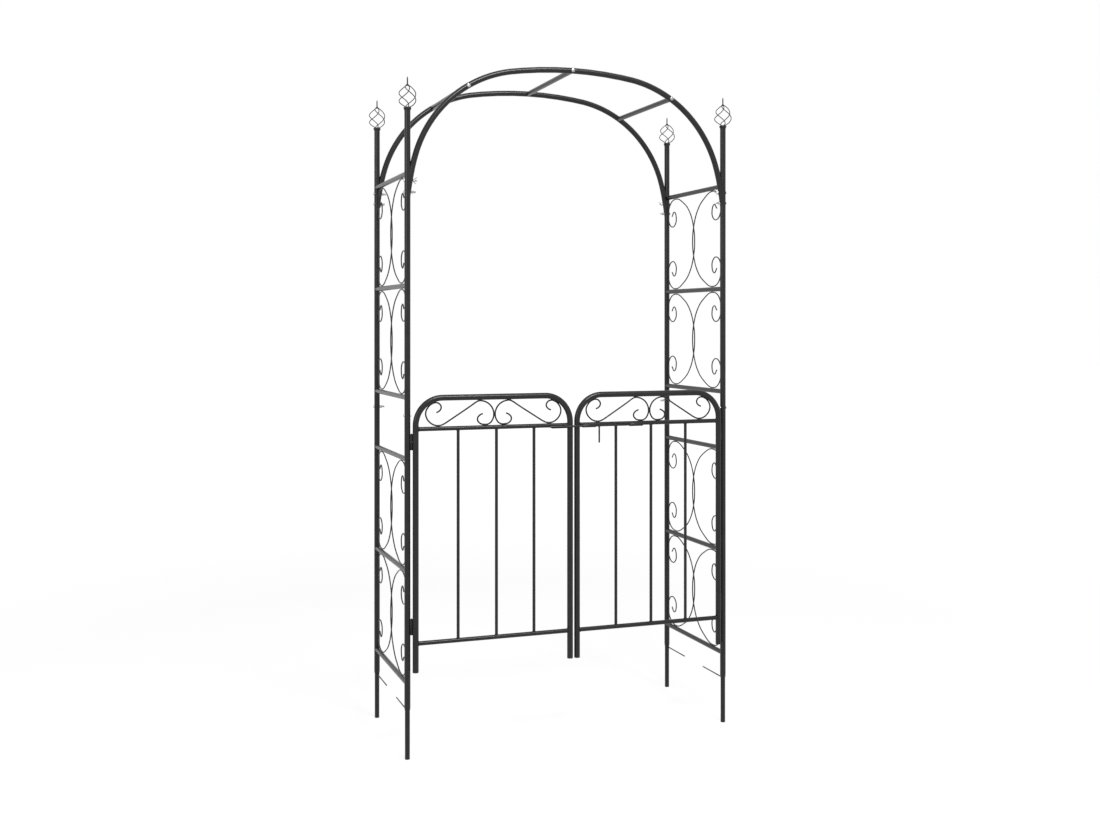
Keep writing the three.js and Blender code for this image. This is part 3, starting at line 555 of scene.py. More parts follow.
def stake():
    """A stake with its step rod, which points along +Y."""
    rod_diameter = sizes().step_rod_diameter
    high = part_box("stake_front_left")[1]
    radius = STAKE_DIAMETER / 2
    body = turned([(radius, 0), (radius, high.z)])
    bevelled(body, width=0.6 * MM)
    rod_z = POST_BOTTOM - STEP_ROD_DROP - rod_diameter / 2
    rod_end = high.y - box_middle("upper_post_front_left").y
    rod = bar((0, radius / 2, rod_z), (0, rod_end, rod_z), rod_diameter, rounding=0.8 * MM)
    bead = weld_ring((0, radius, rod_z), (0, 1, 0), rod_diameter / 2)
    return joined([body, rod, bead])


class ARCH_OT_stakes(Operator):
    """Model the four ground stakes with their step rods"""

    bl_idname = "garden_arch.stakes"
    bl_label = "Stakes"

    def execute(self, context):
        at_corners(stake(), "stake", "rod")
        return {"FINISHED"}


CAP_BOTTOM, SPIKE_TOP = (corner.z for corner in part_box("finial_front_left"))
CAP_LIP = 2 * MM
# Outline of a cap from the bottom of its skirt: radius and height in millimetres.
CAP_OUTLINE = ((11.35, 0), (11.65, 2.5), (13.25, 5.5), (13.25, 8.5), (11.25, 10.4), (7.25, 11))
CAP_TOP = CAP_BOTTOM + CAP_OUTLINE[-1][1] * MM
CAGE_HEIGHT = 74 * MM
CAGE_SINK = 1 * MM  # of the wires' ends in the cap
CAGE_DIAMETER = 66.8 * MM
CAGE_END_DIAMETER = 4.4 * MM
CAGE_FULLNESS = 0.74  # power of the sine, 1 for a lens shape
CAGE_BELLY_SHARE = 0.44  # height of the widest place
CAGE_START = math.radians(16)
CAGE_TWIST = math.radians(-167)
CAGE_WIRES = 4
CAGE_STEPS = 16
BEAD_DIAMETER = 9 * MM
BEAD_HEIGHT = 7 * MM
SPIKE_DIAMETER = 4.5 * MM
SPIKE_POINT = 7 * MM
# Outlines as shares of radius and height.
SPIKE_BEAD_SHARES = ((0.8, 0.12), (1, 0.35), (1, 0.6), (0.75, 0.88))
SPIKE_POINT_SHARES = ((1, 0), (0.8, 0.5), (0.15, 1))


def cap():
    inside = TUBE_DIAMETER / 2
    piece = turned([(inside, CAP_BOTTOM + CAP_LIP), (inside, CAP_BOTTOM),
                    *profile(CAP_OUTLINE, MM, MM, CAP_BOTTOM)])
    return bevelled(piece, width=0.7 * MM, segments=3, angle=math.radians(20))


def cage_wire(start_angle):
    thickness = sizes().cage_wire_diameter
    end_radius = CAGE_END_DIAMETER / 2
    swell = (CAGE_DIAMETER - thickness) / 2 - end_radius
    points = []
    for i in range(CAGE_STEPS + 1):
        share = i / CAGE_STEPS
        rise = share ** (math.log(0.5) / math.log(CAGE_BELLY_SHARE))
        radius = end_radius + swell * max(0, math.sin(math.pi * rise)) ** CAGE_FULLNESS
        angle = start_angle + CAGE_TWIST * share
        height = CAP_TOP - CAGE_SINK + (CAGE_HEIGHT + CAGE_SINK) * share
        points.append((math.cos(angle) * radius, math.sin(angle) * radius, height))
    return wire(points, thickness, steps=5)


def spike():
    bottom = CAP_TOP + CAGE_HEIGHT - BEAD_HEIGHT / 2
    thin = SPIKE_DIAMETER / 2
    return turned([
        (thin, bottom),
        *profile(SPIKE_BEAD_SHARES, BEAD_DIAMETER / 2, BEAD_HEIGHT, bottom),
        (thin, bottom + BEAD_HEIGHT),
        *profile(SPIKE_POINT_SHARES, thin, SPIKE_POINT, SPIKE_TOP - SPIKE_POINT),
    ], sides=24)


class ARCH_OT_finials(Operator):
    """Model the four post caps with their twisted cages and spikes"""

    bl_idname = "garden_arch.finials"
    bl_label = "Finials"

    def execute(self, context):
        wires = [cage_wire(CAGE_START + i * math.tau / CAGE_WIRES) for i in range(CAGE_WIRES)]
        at_corners(joined([cap(), spike(), *wires]), "finial", "cage")
        return {"FINISHED"}


# The two bowed tubes and the rungs between them

ARC_RADIUS_SHARES = (2.4, 0.721, 1.132)  # crown, shoulder and leg, to each other
ARC_ENDS = (9, 73.5, 86.3)  # where each arc ends, in degrees from the crown
ARCH_FOOT_INSET = 2.4 * MM
ARCH_STEP = 2.5  # degrees
ARCH_FOOT_TAPERS = (0.76, 0.84, 0.94)  # of the thickness, from the foot upwards


def arch_reach(turn):
    """How far out and down a unit arch has come after turning from the crown."""
    out, down, start = 0.0, 0.0, 0.0
    for radius, limit in zip(ARC_RADIUS_SHARES, ARC_ENDS):
        stop = max(start, min(turn, limit))
        first, last = math.radians(start), math.radians(stop)
        out += radius * (math.sin(last) - math.sin(first))
        down += radius * (math.cos(first) - math.cos(last))
        start = limit
    return out, down


def arch_point(turn, side, y):
    foot_out, foot_down = arch_reach(ARC_ENDS[-1])
    out, down = arch_reach(turn)
    crown = ARCH_TOP_Z - TUBE_DIAMETER / 2
    height = crown - (crown - ARCH_FOOT_Z) * down / foot_down
    return Vector((side * out / foot_out * (POST_X - ARCH_FOOT_INSET), y, height))


def bowed_tube(y):
    turns = [i * ARCH_STEP for i in range(int(ARC_ENDS[-1] / ARCH_STEP) + 1)] + [ARC_ENDS[-1]]
    left = [arch_point(turn, -1, y) for turn in reversed(turns[1:])]
    right = [arch_point(turn, 1, y) for turn in turns]
    tube = wire(left + right, TUBE_DIAMETER, curved=False, roundness=8,
                tapers=ARCH_FOOT_TAPERS)
    return bevelled(tube, width=0.5 * MM, angle=END_ANGLE)


class ARCH_OT_bows(Operator):
    """Model the two bowed tubes over the walkway"""

    bl_idname = "garden_arch.bows"
    bl_label = "Bowed tubes"

    def execute(self, context):
        for row in ROWS:
            delivered(bowed_tube(box_middle(f"{row}_arch").y), f"{row}_arch", "tube")
        return {"FINISHED"}


ARCH_RUNG_SINK = 1 * MM  # of a rung's ends in the bowed tubes
SCREW_SINK = 0.3 * MM
SCREW_HEAD_DIAMETER = 14 * MM
SCREW_HEAD_HEIGHT = 4 * MM
SCREW_HEAD_SHARES = ((1, 0), (1, 0.3), (0.86, 0.68), (0.6, 0.92), (0.3, 1))
RECESS_SIZE = (6.65 * MM, 1.8472 * MM, 3.6 * MM)  # of the box that cuts one slot of the cross


def rung_screw():
    """The screw's head stands on Z from 0 upwards, with its shank below."""
    shank = sizes().screw_diameter / 2
    head = turned([(shank, -TUBE_DIAMETER), (shank, 0),
                   *profile(SCREW_HEAD_SHARES, SCREW_HEAD_DIAMETER / 2, SCREW_HEAD_HEIGHT)])
    for turn in (0, math.pi / 2):
        cutter = block((0, 0, SCREW_HEAD_HEIGHT), RECESS_SIZE, (0, 0, turn))
        modified(head, "BOOLEAN", operation="DIFFERENCE", object=cutter, solver="EXACT")
        bpy.data.objects.remove(cutter)
    return head


class ARCH_OT_arch_rungs(Operator):
    """Model the three rungs between the bowed tubes, with a screw at each end"""

    bl_idname = "garden_arch.arch_rungs"
    bl_label = "Arch rungs"

    def execute(self, context):
        pattern = rung_screw()
        reach = POST_Y - TUBE_DIAMETER / 2 + ARCH_RUNG_SINK
        for name in ("arch_rung_left", "arch_rung_top", "arch_rung_right"):
            middle = box_middle(name)
            tube = bar((middle.x, -reach, middle.z), (middle.x, reach, middle.z),
                       sizes().arch_rung_diameter)
            delivered(tube, name, "tube")
            for row, sign in ROWS.items():
                seat = sign * (POST_Y + TUBE_DIAMETER / 2 - SCREW_SINK)
                turn = (-sign * math.pi / 2, 0, 0)
                screw = placed(copied(pattern), (middle.x, seat, middle.z), turn)
                delivered(screw, f"{name}_screw_{row}", finish_name="zinc_steel")
        bpy.data.objects.remove(pattern)
        return {"FINISHED"}


# Bolts and nuts

BOLT_HEAD_DIAMETER = 11 * MM
BOLT_HEAD_HEIGHT = 3.5 * MM
BOLT_HEAD_SHARES = ((0.35, 1), (0.75, 0.84), (0.95, 0.5), (1, 0.15), (1, 0))  # downwards
BOLT_TIP_SHARE = 0.7  # of the shank's radius
THREAD_ROOT_SHARE = 0.86
THREAD_PITCH = 1 * MM
NUT_BASE_DIAMETER = 10.5 * MM
NUT_HEIGHT = 7 * MM
NUT_HUB_SHARES = ((1, 0), (1, 0.12), (0.8, 0.6), (0.7619, 1))
WING_HEIGHT = 13.5 * MM
LOW_NUT_DIAMETER = 8 * MM
LOW_NUT_HEIGHT = 3.2 * MM


def bolt(length_to_nut, tail):
    """A bolt along Z: its head ends at 0 and its thread runs upwards."""
    shank = sizes().screw_diameter / 2
    top = length_to_nut + tail
    outline = profile(BOLT_HEAD_SHARES, BOLT_HEAD_DIAMETER / 2, -BOLT_HEAD_HEIGHT)
    outline += [(shank, 0), (shank, length_to_nut)]
    height = length_to_nut
    while height + THREAD_PITCH < top:
        outline.append((shank * THREAD_ROOT_SHARE, height + THREAD_PITCH / 2))
        height += THREAD_PITCH
        outline.append((shank, height))
    outline.append((shank * BOLT_TIP_SHARE, top))
    return turned(outline, sides=28)


EAR_ROOT = (3.78 * MM, 0, 2.94 * MM)  # middle of the block that an ear grows from
EAR_ROOT_SIZE = (2 * MM, 2.2 * MM, 4.34 * MM)
EAR_REACH = 8.22 * MM
EAR_RISE = 8.39 * MM
# Steps of an ear from the hub to its tip: shares of its reach and rise, and the change in its
# thickness and height.
EAR_STEPS = ((0.35, 0.2, 0.95, 0.95), (0.3, 0.35, 1.1, 1.1), (0.2, 0.25, 0.95, 0.95),
             (0.15, 0.15, 0.75, 0.55))


def wing(turn):
    """One ear of a wing nut that stands on Z from 0 upwards, turned about Z."""
    ear = block(EAR_ROOT, EAR_ROOT_SIZE)
    set_mode("EDIT")
    bpy.ops.mesh.select_mode(type="FACE")
    bpy.ops.mesh.select_all(action="DESELECT")
    set_mode("OBJECT")
    for face in ear.data.polygons:
        face.select = face.normal.x > FACING
    set_mode("EDIT")
    for out, up, thicker, taller in EAR_STEPS:
        extrude((EAR_REACH * out, 0, EAR_RISE * up))
        bpy.ops.transform.resize(value=(1, thicker, taller))
    set_mode("OBJECT")
    return placed(modified(ear, "SUBSURF", levels=2), turn=(0, 0, turn))


def wing_nut():
    """A wing nut that stands on Z from 0 upwards, with its wings along X."""
    hub = turned(profile(NUT_HUB_SHARES, NUT_BASE_DIAMETER / 2, NUT_HEIGHT), sides=28)
    bevelled(hub, width=0.4 * MM)
    return joined([hub, wing(0), wing(math.pi)])


def low_nut():
    """A thin six-sided nut that stands on Z from 0 upwards."""
    across = LOW_NUT_DIAMETER / 2
    return bevelled(turned([(across, 0), (across, LOW_NUT_HEIGHT)], sides=6), width=0.5 * MM)


def across_post(piece, row, side, height):
    """Lays a bolt that was made up the Z axis through a post, from outside to the walkway."""
    place = (SIDES[side] * (POST_X + TUBE_DIAMETER / 2), ROWS[row] * POST_Y, height)
    return placed(piece, place, (0, math.pi / 2, math.pi if side == "right" else 0))


NUT_TURNS = (80, 35, 95, 20, 70, 110, 88, 50)  # degrees from upright, bolt by bolt
FOOT_BOLT_RISES = {"low": 16 * MM, "high": 54.5 * MM}  # above the end of the bowed tube
BOLT_TAIL = 6 * MM  # past the nut


class ARCH_OT_foot_bolts(Operator):
    """Model the bolts and wing nuts that hold the bowed tubes to the posts"""

    bl_idname = "garden_arch.foot_bolts"
    bl_label = "Foot bolts"

    def execute(self, context):
        pattern = wing_nut()
        names = [f"foot_bolt_{row}_{side}_{end}" for row, side in CORNERS
                 for end in FOOT_BOLT_RISES]
        for name, turn in zip(names, NUT_TURNS):
            row, side, end = name.split("_")[2:]
            reach = box_size(name).x - BOLT_HEAD_HEIGHT - WING_HEIGHT
            shank = bolt(reach + NUT_HEIGHT, BOLT_TAIL)
            nut = placed(copied(pattern), (0, 0, reach), (0, 0, math.radians(turn)))
            piece = joined([shank, nut])
            across_post(piece, row, side, ARCH_FOOT_Z + FOOT_BOLT_RISES[end])
            delivered(piece, name, "nut", finish_name="zinc_steel")
        bpy.data.objects.remove(pattern)
        return {"FINISHED"}


SEAM_BOLT_RISE = 42 * MM  # above the seam between lower and upper post
SEAM_NUT_TURNS = {"left": 62, "right": 118}  # degrees from upright
LONG_TAIL = 12 * MM
SHORT_TAIL = 2 * MM


class ARCH_OT_seam_bolts(Operator):
    """Model the bolts that hold each upper post on the lower post's spigot"""

    bl_idname = "garden_arch.seam_bolts"
    bl_label = "Seam bolts"

    def execute(self, context):
        for row, side in CORNERS:
            if row == "back":
                turn = math.radians(SEAM_NUT_TURNS[side])
                nut, height, tail = wing_nut(), NUT_HEIGHT, LONG_TAIL
            else:
                turn = 0
                nut, height, tail = low_nut(), LOW_NUT_HEIGHT, SHORT_TAIL
            nut = placed(nut, (0, 0, TUBE_DIAMETER), (0, 0, turn))
            piece = joined([bolt(TUBE_DIAMETER + height, tail), nut])
            across_post(piece, row, side, SEAM_Z + SEAM_BOLT_RISE)
            delivered(piece, f"seam_bolt_{row}_{side}", finish_name="zinc_steel")
        return {"FINISHED"}


# Side panels

SIDE_RUNG_SINK = 2 * MM  # of a rung's ends in the posts


def side_rung(middle, length, diameter):
    """A round tube along Y, run a little into each post."""
    half = Vector((0, length / 2 + SIDE_RUNG_SINK, 0))
    return bar(middle - half, middle + half, diameter)


def rung_weld(middle, diameter, sign):
    """A bead round the end of a rung, bent to the round of the post it meets."""
    radius = TUBE_DIAMETER / 2
    place = (middle.x, sign * (POST_Y - radius), middle.z)
    bead = weld_ring(place, (0, -sign, 0), diameter / 2)
    for vertex in bead.data.vertices:
        across = vertex.co.x - middle.x
        vertex.co.y += sign * (radius - math.sqrt(max(radius ** 2 - across ** 2, 0)))
    return bead


class ARCH_OT_side_rungs(Operator):
    """Model the twelve rungs of the side panels with their weld beads"""

    bl_idname = "garden_arch.side_rungs"
    bl_label = "Side rungs"

    def execute(self, context):
        for name in sorted(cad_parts):
            if "_rung_" not in name or name.startswith("arch"):
                continue
            size = box_size(name)
            middle = box_middle(name)
            diameter = max(size.x, size.z)
            parts = [side_rung(middle, size.y, diameter)]
            parts += [rung_weld(middle, diameter, sign) for sign in (-1, 1)]
            delivered(joined(parts), name, "bar")
        return {"FINISHED"}


# Upper half of a side scroll, from its inner end to its belly: share of the bay's width in
# from the post, and share of its height down from the rung.
SIDE_SCROLL_SHARES = (
    (0.073, 0.187), (0.119, 0.142), (0.158, 0.217), (0.136, 0.282), (0.073, 0.304),
    (0.014, 0.251), (0, 0.161), (0.036, 0.05), (0.147, 0), (0.303, 0.061),
    (0.417, 0.167), (0.491, 0.329), (0.515, 0.5),
)
SCROLL_OFFSET = 1 * MM
CLEARANCE = 0.3 * MM


def side_scroll(end, x, low_z, high_z):
    """One C-shaped wire scroll in a bay, at the front post (end -1) or the back post."""
    radius = sizes().side_wire_diameter / 2
    half_width = POST_Y - TUBE_DIAMETER / 2 - CLEARANCE - radius
    half_height = (high_z - low_z) / 2 - CLEARANCE - radius
    middle = (high_z + low_z) / 2
    upper = [(end * half_width * (1 - 2 * inward), half_height * (1 - 2 * down))
             for inward, down in SIDE_SCROLL_SHARES]
    lower = [(y, -z) for y, z in reversed(upper[:-1])]
    points = [(x + end * SCROLL_OFFSET, y, middle + z) for y, z in upper + lower]
    return rounded_wire(points, radius * 2)


def bay_limits(name):
    """Top of the rung below and bottom of the rung above the scrolls of a bay."""
    section, _, side, number = name.split("_")
    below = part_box(f"{section}_rung_{side}_{number}")[1].z
    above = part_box(f"{section}_rung_{side}_{int(number) + 1}")[0].z
    return below, above


class ARCH_OT_side_scrolls(Operator):
    """Model the wire scrolls of the side panels, welded in pairs back to back"""

    bl_idname = "garden_arch.side_scrolls"
    bl_label = "Side scrolls"

    def execute(self, context):
        for name in sorted(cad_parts):
            if "_scrolls_" not in name or name.startswith("gate"):
                continue
            below, above = bay_limits(name)
            x = box_middle(name).x
            pair = [side_scroll(end, x, below, above) for end in (-1, 1)]
            delivered(joined(pair), name, "wire")
        return {"FINISHED"}


# Gate leaves

GATE_CORNER_RADIUS = 92 * MM
CORNER_STEPS = 18
MEETING_X = 13.1 * MM  # of the middle of each meeting stile
LEAF_WIDTH = STILE_X - MEETING_X
OPEN_DEPTH = 14 * MM
BAR_COUNT = 3
BAR_SPACING_SHARE = 0.246  # of the leaf's width
BAR_SHIFT = 7 * MM  # of the bars from the leaf's middle, to the right


def leaf_x(sign, from_stile):
    """X at a distance from the hinge stile's middle, towards the other leaf."""
    return sign * (STILE_X - from_stile)


def leaf_path(sign):
    corner_z = GATE_TOP_Z - TUBE_DIAMETER / 2 - GATE_CORNER_RADIUS
    points = [(leaf_x(sign, 0), LEAF_Y, GATE_BOTTOM_Z)]
    for corner in (0, 1):
        centre = LEAF_WIDTH - GATE_CORNER_RADIUS if corner else GATE_CORNER_RADIUS
        for i in range(CORNER_STEPS + 1):
            angle = math.pi - (corner + i / CORNER_STEPS) * math.pi / 2
            across = centre + math.cos(angle) * GATE_CORNER_RADIUS
            height = corner_z + math.sin(angle) * GATE_CORNER_RADIUS
            points.append((leaf_x(sign, across), LEAF_Y, height))
    points.append((leaf_x(sign, LEAF_WIDTH), LEAF_Y, GATE_BOTTOM_Z))
    return points


HINGE_ENDS = ("lower", "upper")
HINGE_LENGTH = 54 * MM
KNUCKLE_RADIUS = box_size("hinge_pin_left_upper").x / 2
KNUCKLE_GAP = 0.3 * MM
# Places of a knuckle's weld beads, as shares of its radius: towards the tube and aside.
GROOVE_REACH_SHARE = 0.86
GROOVE_ASIDE_SHARE = 0.5
GROOVE_INSET = 2.5 * MM  # of the beads from the knuckle's ends


def hinge_middle(side, end):
    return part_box(f"hinge_pin_{side}_{end}")[0].z + HINGE_LENGTH / 2


def knuckle(sign, bottom, top, tube_x, tube_y):
    """Half of a hinge barrel, with an upright weld bead in each groove beside its tube."""
    barrel = turned([(KNUCKLE_RADIUS, bottom), (KNUCKLE_RADIUS, top)], sides=28)
    bevelled(barrel, width=0.5 * MM)
    middle = Vector((sign * HINGE_X, HINGE_Y))
    parts = [placed(barrel, (*middle, 0))]
    reach = (Vector((sign * tube_x, tube_y)) - middle).normalized()
    aside = Vector((-reach.y, reach.x))
    for direction in (-1, 1):
        spot = middle + reach * KNUCKLE_RADIUS * GROOVE_REACH_SHARE
        spot += aside * direction * KNUCKLE_RADIUS * GROOVE_ASIDE_SHARE
        parts.append(weld_line((*spot, bottom + GROOVE_INSET), (*spot, top - GROOVE_INSET)))
    return parts


class ARCH_OT_gate_frames(Operator):
    """Model the bent frame of each leaf with its hinge knuckles"""

    bl_idname = "garden_arch.gate_frames"
    bl_label = "Leaf frames"

    def execute(self, context):
        for side, sign in SIDES.items():
            tube = wire(leaf_path(sign), TUBE_DIAMETER, curved=False, roundness=8)
            for across in (0, LEAF_WIDTH):
                place = (leaf_x(sign, across), LEAF_Y, GATE_BOTTOM_Z)
                open_end(tube, place, (0, 0, 1), sizes().tube_wall, OPEN_DEPTH)
            bevelled(tube, width=0.3 * MM, angle=END_ANGLE)
            parts = [tube]
            for end in HINGE_ENDS:
                middle = hinge_middle(side, end)
                parts += knuckle(sign, middle + KNUCKLE_GAP / 2, middle + HINGE_LENGTH / 2,
                                 STILE_X, LEAF_Y)
            delivered(joined(parts), f"gate_frame_{side}", "tube", f"{side}_gate")
        return {"FINISHED"}


RAIL_RADIUS = 7.5 * MM  # in the frame
RAIL_SPACING = 716 * MM
RAIL_SINK = 2 * MM  # of the rails' ends in the stiles
RAIL_BEAD_GAP = 0.4 * MM  # between a stile and the middle of a rail's weld bead
BOTTOM_RAIL_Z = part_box("gate_grille_left")[0].z + RAIL_RADIUS
TOP_RAIL_Z = BOTTOM_RAIL_Z + RAIL_SPACING
LATCH_FORWARD = 4.4 * MM  # of the rod's middle from the front of the stiles
LATCH_DROP = 4 * MM  # below the top rail's middle
LATCH_TRAVEL = 95 * MM
LATCH_Z = TOP_RAIL_Z - LATCH_DROP
LATCH_Y = LEAF_Y - TUBE_DIAMETER / 2 - LATCH_FORWARD
GUIDE_LENGTH = 50 * MM
GUIDE_BORE = 8.2 * MM
GUIDE_WALL = 1.5 * MM
GUIDE_STILE_GAP = 4.5 * MM
GUIDE_SLIT = 0.01 * MM  # between the two faces that close the bore where the rod hides them
WEB_LENGTH = 48 * MM
WEB_THICKNESS = 4 * MM
WEB_SINK = 0.8 * MM  # in the sleeve
NEAR_GUIDE_X = MEETING_X + TUBE_DIAMETER / 2 + GUIDE_STILE_GAP
HANDLE_GAP = 13 * MM  # from the near guide to the handle's middle
HANDLE_X = NEAR_GUIDE_X + GUIDE_LENGTH + HANDLE_GAP
HANDLE_LENGTH = 60 * MM
FAR_GUIDE_GAP = 20 * MM  # from the middle of the drawn handle to the far guide
FAR_GUIDE_X = HANDLE_X + LATCH_TRAVEL + FAR_GUIDE_GAP
KEEPER_LENGTH = 57 * MM
KEEPER_FLANGE = 1.6 * MM
KEEPER_LIP = 3 * MM
KEEPER_OVERLAP = 0.6 * MM  # of its three plates


def rail(sign, height):
    """A rail between the stiles with a weld bead at each end."""
    diameter = sizes().rail_diameter
    into = TUBE_DIAMETER / 2 - RAIL_SINK
    start = (leaf_x(sign, into), LEAF_Y, height)
    parts = [bar(start, (leaf_x(sign, LEAF_WIDTH - into), LEAF_Y, height), diameter)]
    seam = TUBE_DIAMETER / 2 + RAIL_BEAD_GAP
    for across, towards in ((seam, 1), (LEAF_WIDTH - seam, -1)):
        place = (leaf_x(sign, across), LEAF_Y, height)
        parts.append(weld_ring(place, (-sign * towards, 0, 0), diameter / 2))
    return parts


def upright(sign, number):
    diameter = sizes().bar_diameter
    rail_radius = sizes().rail_diameter / 2
    from_middle = (number - (BAR_COUNT - 1) / 2) * BAR_SPACING_SHARE * LEAF_WIDTH
    x = leaf_x(sign, LEAF_WIDTH / 2 - sign * BAR_SHIFT + from_middle)
    start = (x, LEAF_Y, BOTTOM_RAIL_Z + rail_radius / 2)
    parts = [bar(start, (x, LEAF_Y, TOP_RAIL_Z - rail_radius / 2), diameter)]
    for height, towards in ((BOTTOM_RAIL_Z + rail_radius, 1), (TOP_RAIL_Z - rail_radius, -1)):
        parts.append(weld_ring((x, LEAF_Y, height), (0, 0, towards), diameter / 2))
    return parts


def latch_guide(start_x):
    """A sleeve round the latch rod with a web back to the rail."""
    bore = GUIDE_BORE / 2
    outer = bore + GUIDE_WALL
    sleeve = turned([
        (bore, GUIDE_LENGTH / 2),
        (bore, 0),
        (outer, 0),
        (outer, GUIDE_LENGTH),
        (bore, GUIDE_LENGTH),
        (bore, GUIDE_LENGTH / 2 + GUIDE_SLIT),
    ], sides=32)
    bevelled(sleeve, width=0.4 * MM)
    laid_along(sleeve, (start_x, LATCH_Y, LATCH_Z), (start_x + GUIDE_LENGTH, LATCH_Y, LATCH_Z))
    front = LATCH_Y + outer - WEB_SINK
    back = LEAF_Y - sizes().rail_diameter / 4
    web = block((start_x + GUIDE_LENGTH / 2, (front + back) / 2, LATCH_Z),
                (WEB_LENGTH, back - front, WEB_THICKNESS))
    return [sleeve, bevelled(web, width=0.5 * MM)]


def latch_keeper():
    """A channel on the left leaf, open to the front, in which the rod's tip lies."""
    slot = GUIDE_BORE / 2
    outer = slot + KEEPER_FLANGE
    back = LEAF_Y - sizes().rail_diameter / 4
    front = LATCH_Y - KEEPER_LIP
    slot_back = LATCH_Y + slot
    middle_x = -NEAR_GUIDE_X - KEEPER_LENGTH / 2
    parts = []
    for low_y, high_y, low_z, high_z in (
        (slot_back, back, -outer, outer),
        (front, slot_back, slot, outer),
        (front, slot_back, -outer, -slot),
    ):
        middle = (middle_x, (low_y + high_y) / 2, LATCH_Z + (low_z + high_z) / 2)
        size = (KEEPER_LENGTH, high_y - low_y + KEEPER_OVERLAP, high_z - low_z)
        parts.append(bevelled(block(middle, size), width=0.6 * MM))
    return parts


class ARCH_OT_gate_grilles(Operator):
    """Model the rails and bars of each leaf with the latch guides and keeper"""

    bl_idname = "garden_arch.gate_grilles"
    bl_label = "Leaf grilles"

    def execute(self, context):
        for side, sign in SIDES.items():
            parts = rail(sign, BOTTOM_RAIL_Z) + rail(sign, TOP_RAIL_Z)
            for number in range(BAR_COUNT):
                parts += upright(sign, number)
            if side == "left":
                parts += latch_keeper()
            else:
                parts += latch_guide(NEAR_GUIDE_X) + latch_guide(FAR_GUIDE_X)
            delivered(joined(parts), f"gate_grille_{side}", "bars", f"{side}_gate")
        return {"FINISHED"}


# Halves of a gate scroll, each from its curled end to its slope, the outer one at the stile:
# shares of the scroll's half width and half height, from its middle.
OUTER_CURL_SHARES = (
    (-0.7, 0.08), (-0.605, 0.24), (-0.56, 0.5), (-0.6, 0.78), (-0.7, 0.92), (-0.82, 0.84),
    (-0.94, 0.55), (-1.01, 0.1), (-0.985, -0.34), (-0.91, -0.66), (-0.8, -0.9), (-0.68, -1),
    (-0.56, -0.97), (-0.45, -0.83), (-0.35, -0.65), (-0.2, -0.372),
)
INNER_CURL_SHARES = (
    (-0.67, 0.08), (-0.56, 0.26), (-0.51, 0.53), (-0.57, 0.87), (-0.71, 1), (-0.86, 0.94),
    (-0.965, 0.6), (-1, 0.13), (-0.98, -0.2), (-0.91, -0.57), (-0.8, -0.84), (-0.68, -0.975),
    (-0.56, -1), (-0.45, -0.86), (-0.35, -0.66), (-0.2, -0.372),
)
GATE_SCROLL_INSET_SHARE = 0.387  # of the corner radius, from the stile's middle
SCROLL_WELD_LENGTH = 9 * MM
# Where a scroll is welded: share of its half width, and to the tube above or the rail below.
SCROLL_WELDS = ((-0.64, "rail"), (0.56, "tube"), (0.71, "rail"))
SCROLL_WELD_SHARE = 0.6  # of the wire's radius, from the wire's middle to the front and back


def gate_scroll(sign, middle, half_width):
    """One S-shaped scroll with its welds, its middle at a distance from the hinge stile."""
    radius = sizes().gate_wire_diameter / 2
    top = GATE_TOP_Z - TUBE_DIAMETER
    bottom = TOP_RAIL_Z + sizes().rail_diameter / 2
    half_height = (top - bottom) / 2 - radius
    middle_z = (top + bottom) / 2
    inner = [(-across, -up) for across, up in reversed(INNER_CURL_SHARES)]
    points = [(leaf_x(sign, middle + across * half_width), LEAF_Y, middle_z + up * half_height)
              for across, up in [*OUTER_CURL_SHARES, *inner]]
    parts = [rounded_wire(points, radius * 2)]
    heights = {"tube": top, "rail": bottom}
    for across, end in SCROLL_WELDS:
        x = leaf_x(sign, middle + across * half_width)
        for apart in (-SCROLL_WELD_SHARE, SCROLL_WELD_SHARE):
            y = LEAF_Y + radius * apart
            parts.append(weld_line((x - SCROLL_WELD_LENGTH / 2, y, heights[end]),
                                   (x + SCROLL_WELD_LENGTH / 2, y, heights[end])))
    return parts


class ARCH_OT_gate_scrolls(Operator):
    """Model the S-shaped scrolls at the top of each leaf"""

    bl_idname = "garden_arch.gate_scrolls"
    bl_label = "Leaf scrolls"

    def execute(self, context):
        outer = GATE_SCROLL_INSET_SHARE * GATE_CORNER_RADIUS
        inner = LEAF_WIDTH / 2 - sizes().gate_wire_diameter / 2 + CLEARANCE
        middle = (inner + outer) / 2
        half_width = (inner - outer) / 2
        for side, sign in SIDES.items():
            pair = [*gate_scroll(sign, middle, half_width),
                    *gate_scroll(sign, LEAF_WIDTH - middle, -half_width)]
            delivered(joined(pair), f"gate_scrolls_{side}", "wire", f"{side}_gate")
        return {"FINISHED"}


PIN_DIAMETER = 4 * MM
PIN_STICKOUT = 2 * MM
# Outline of a pin's head above its hinge: shares of the pin's radius and of its stick-out.
PIN_HEAD_SHARES = ((1, 0.1), (1.36, 0.15), (1.2, 0.6), (0.6, 1))


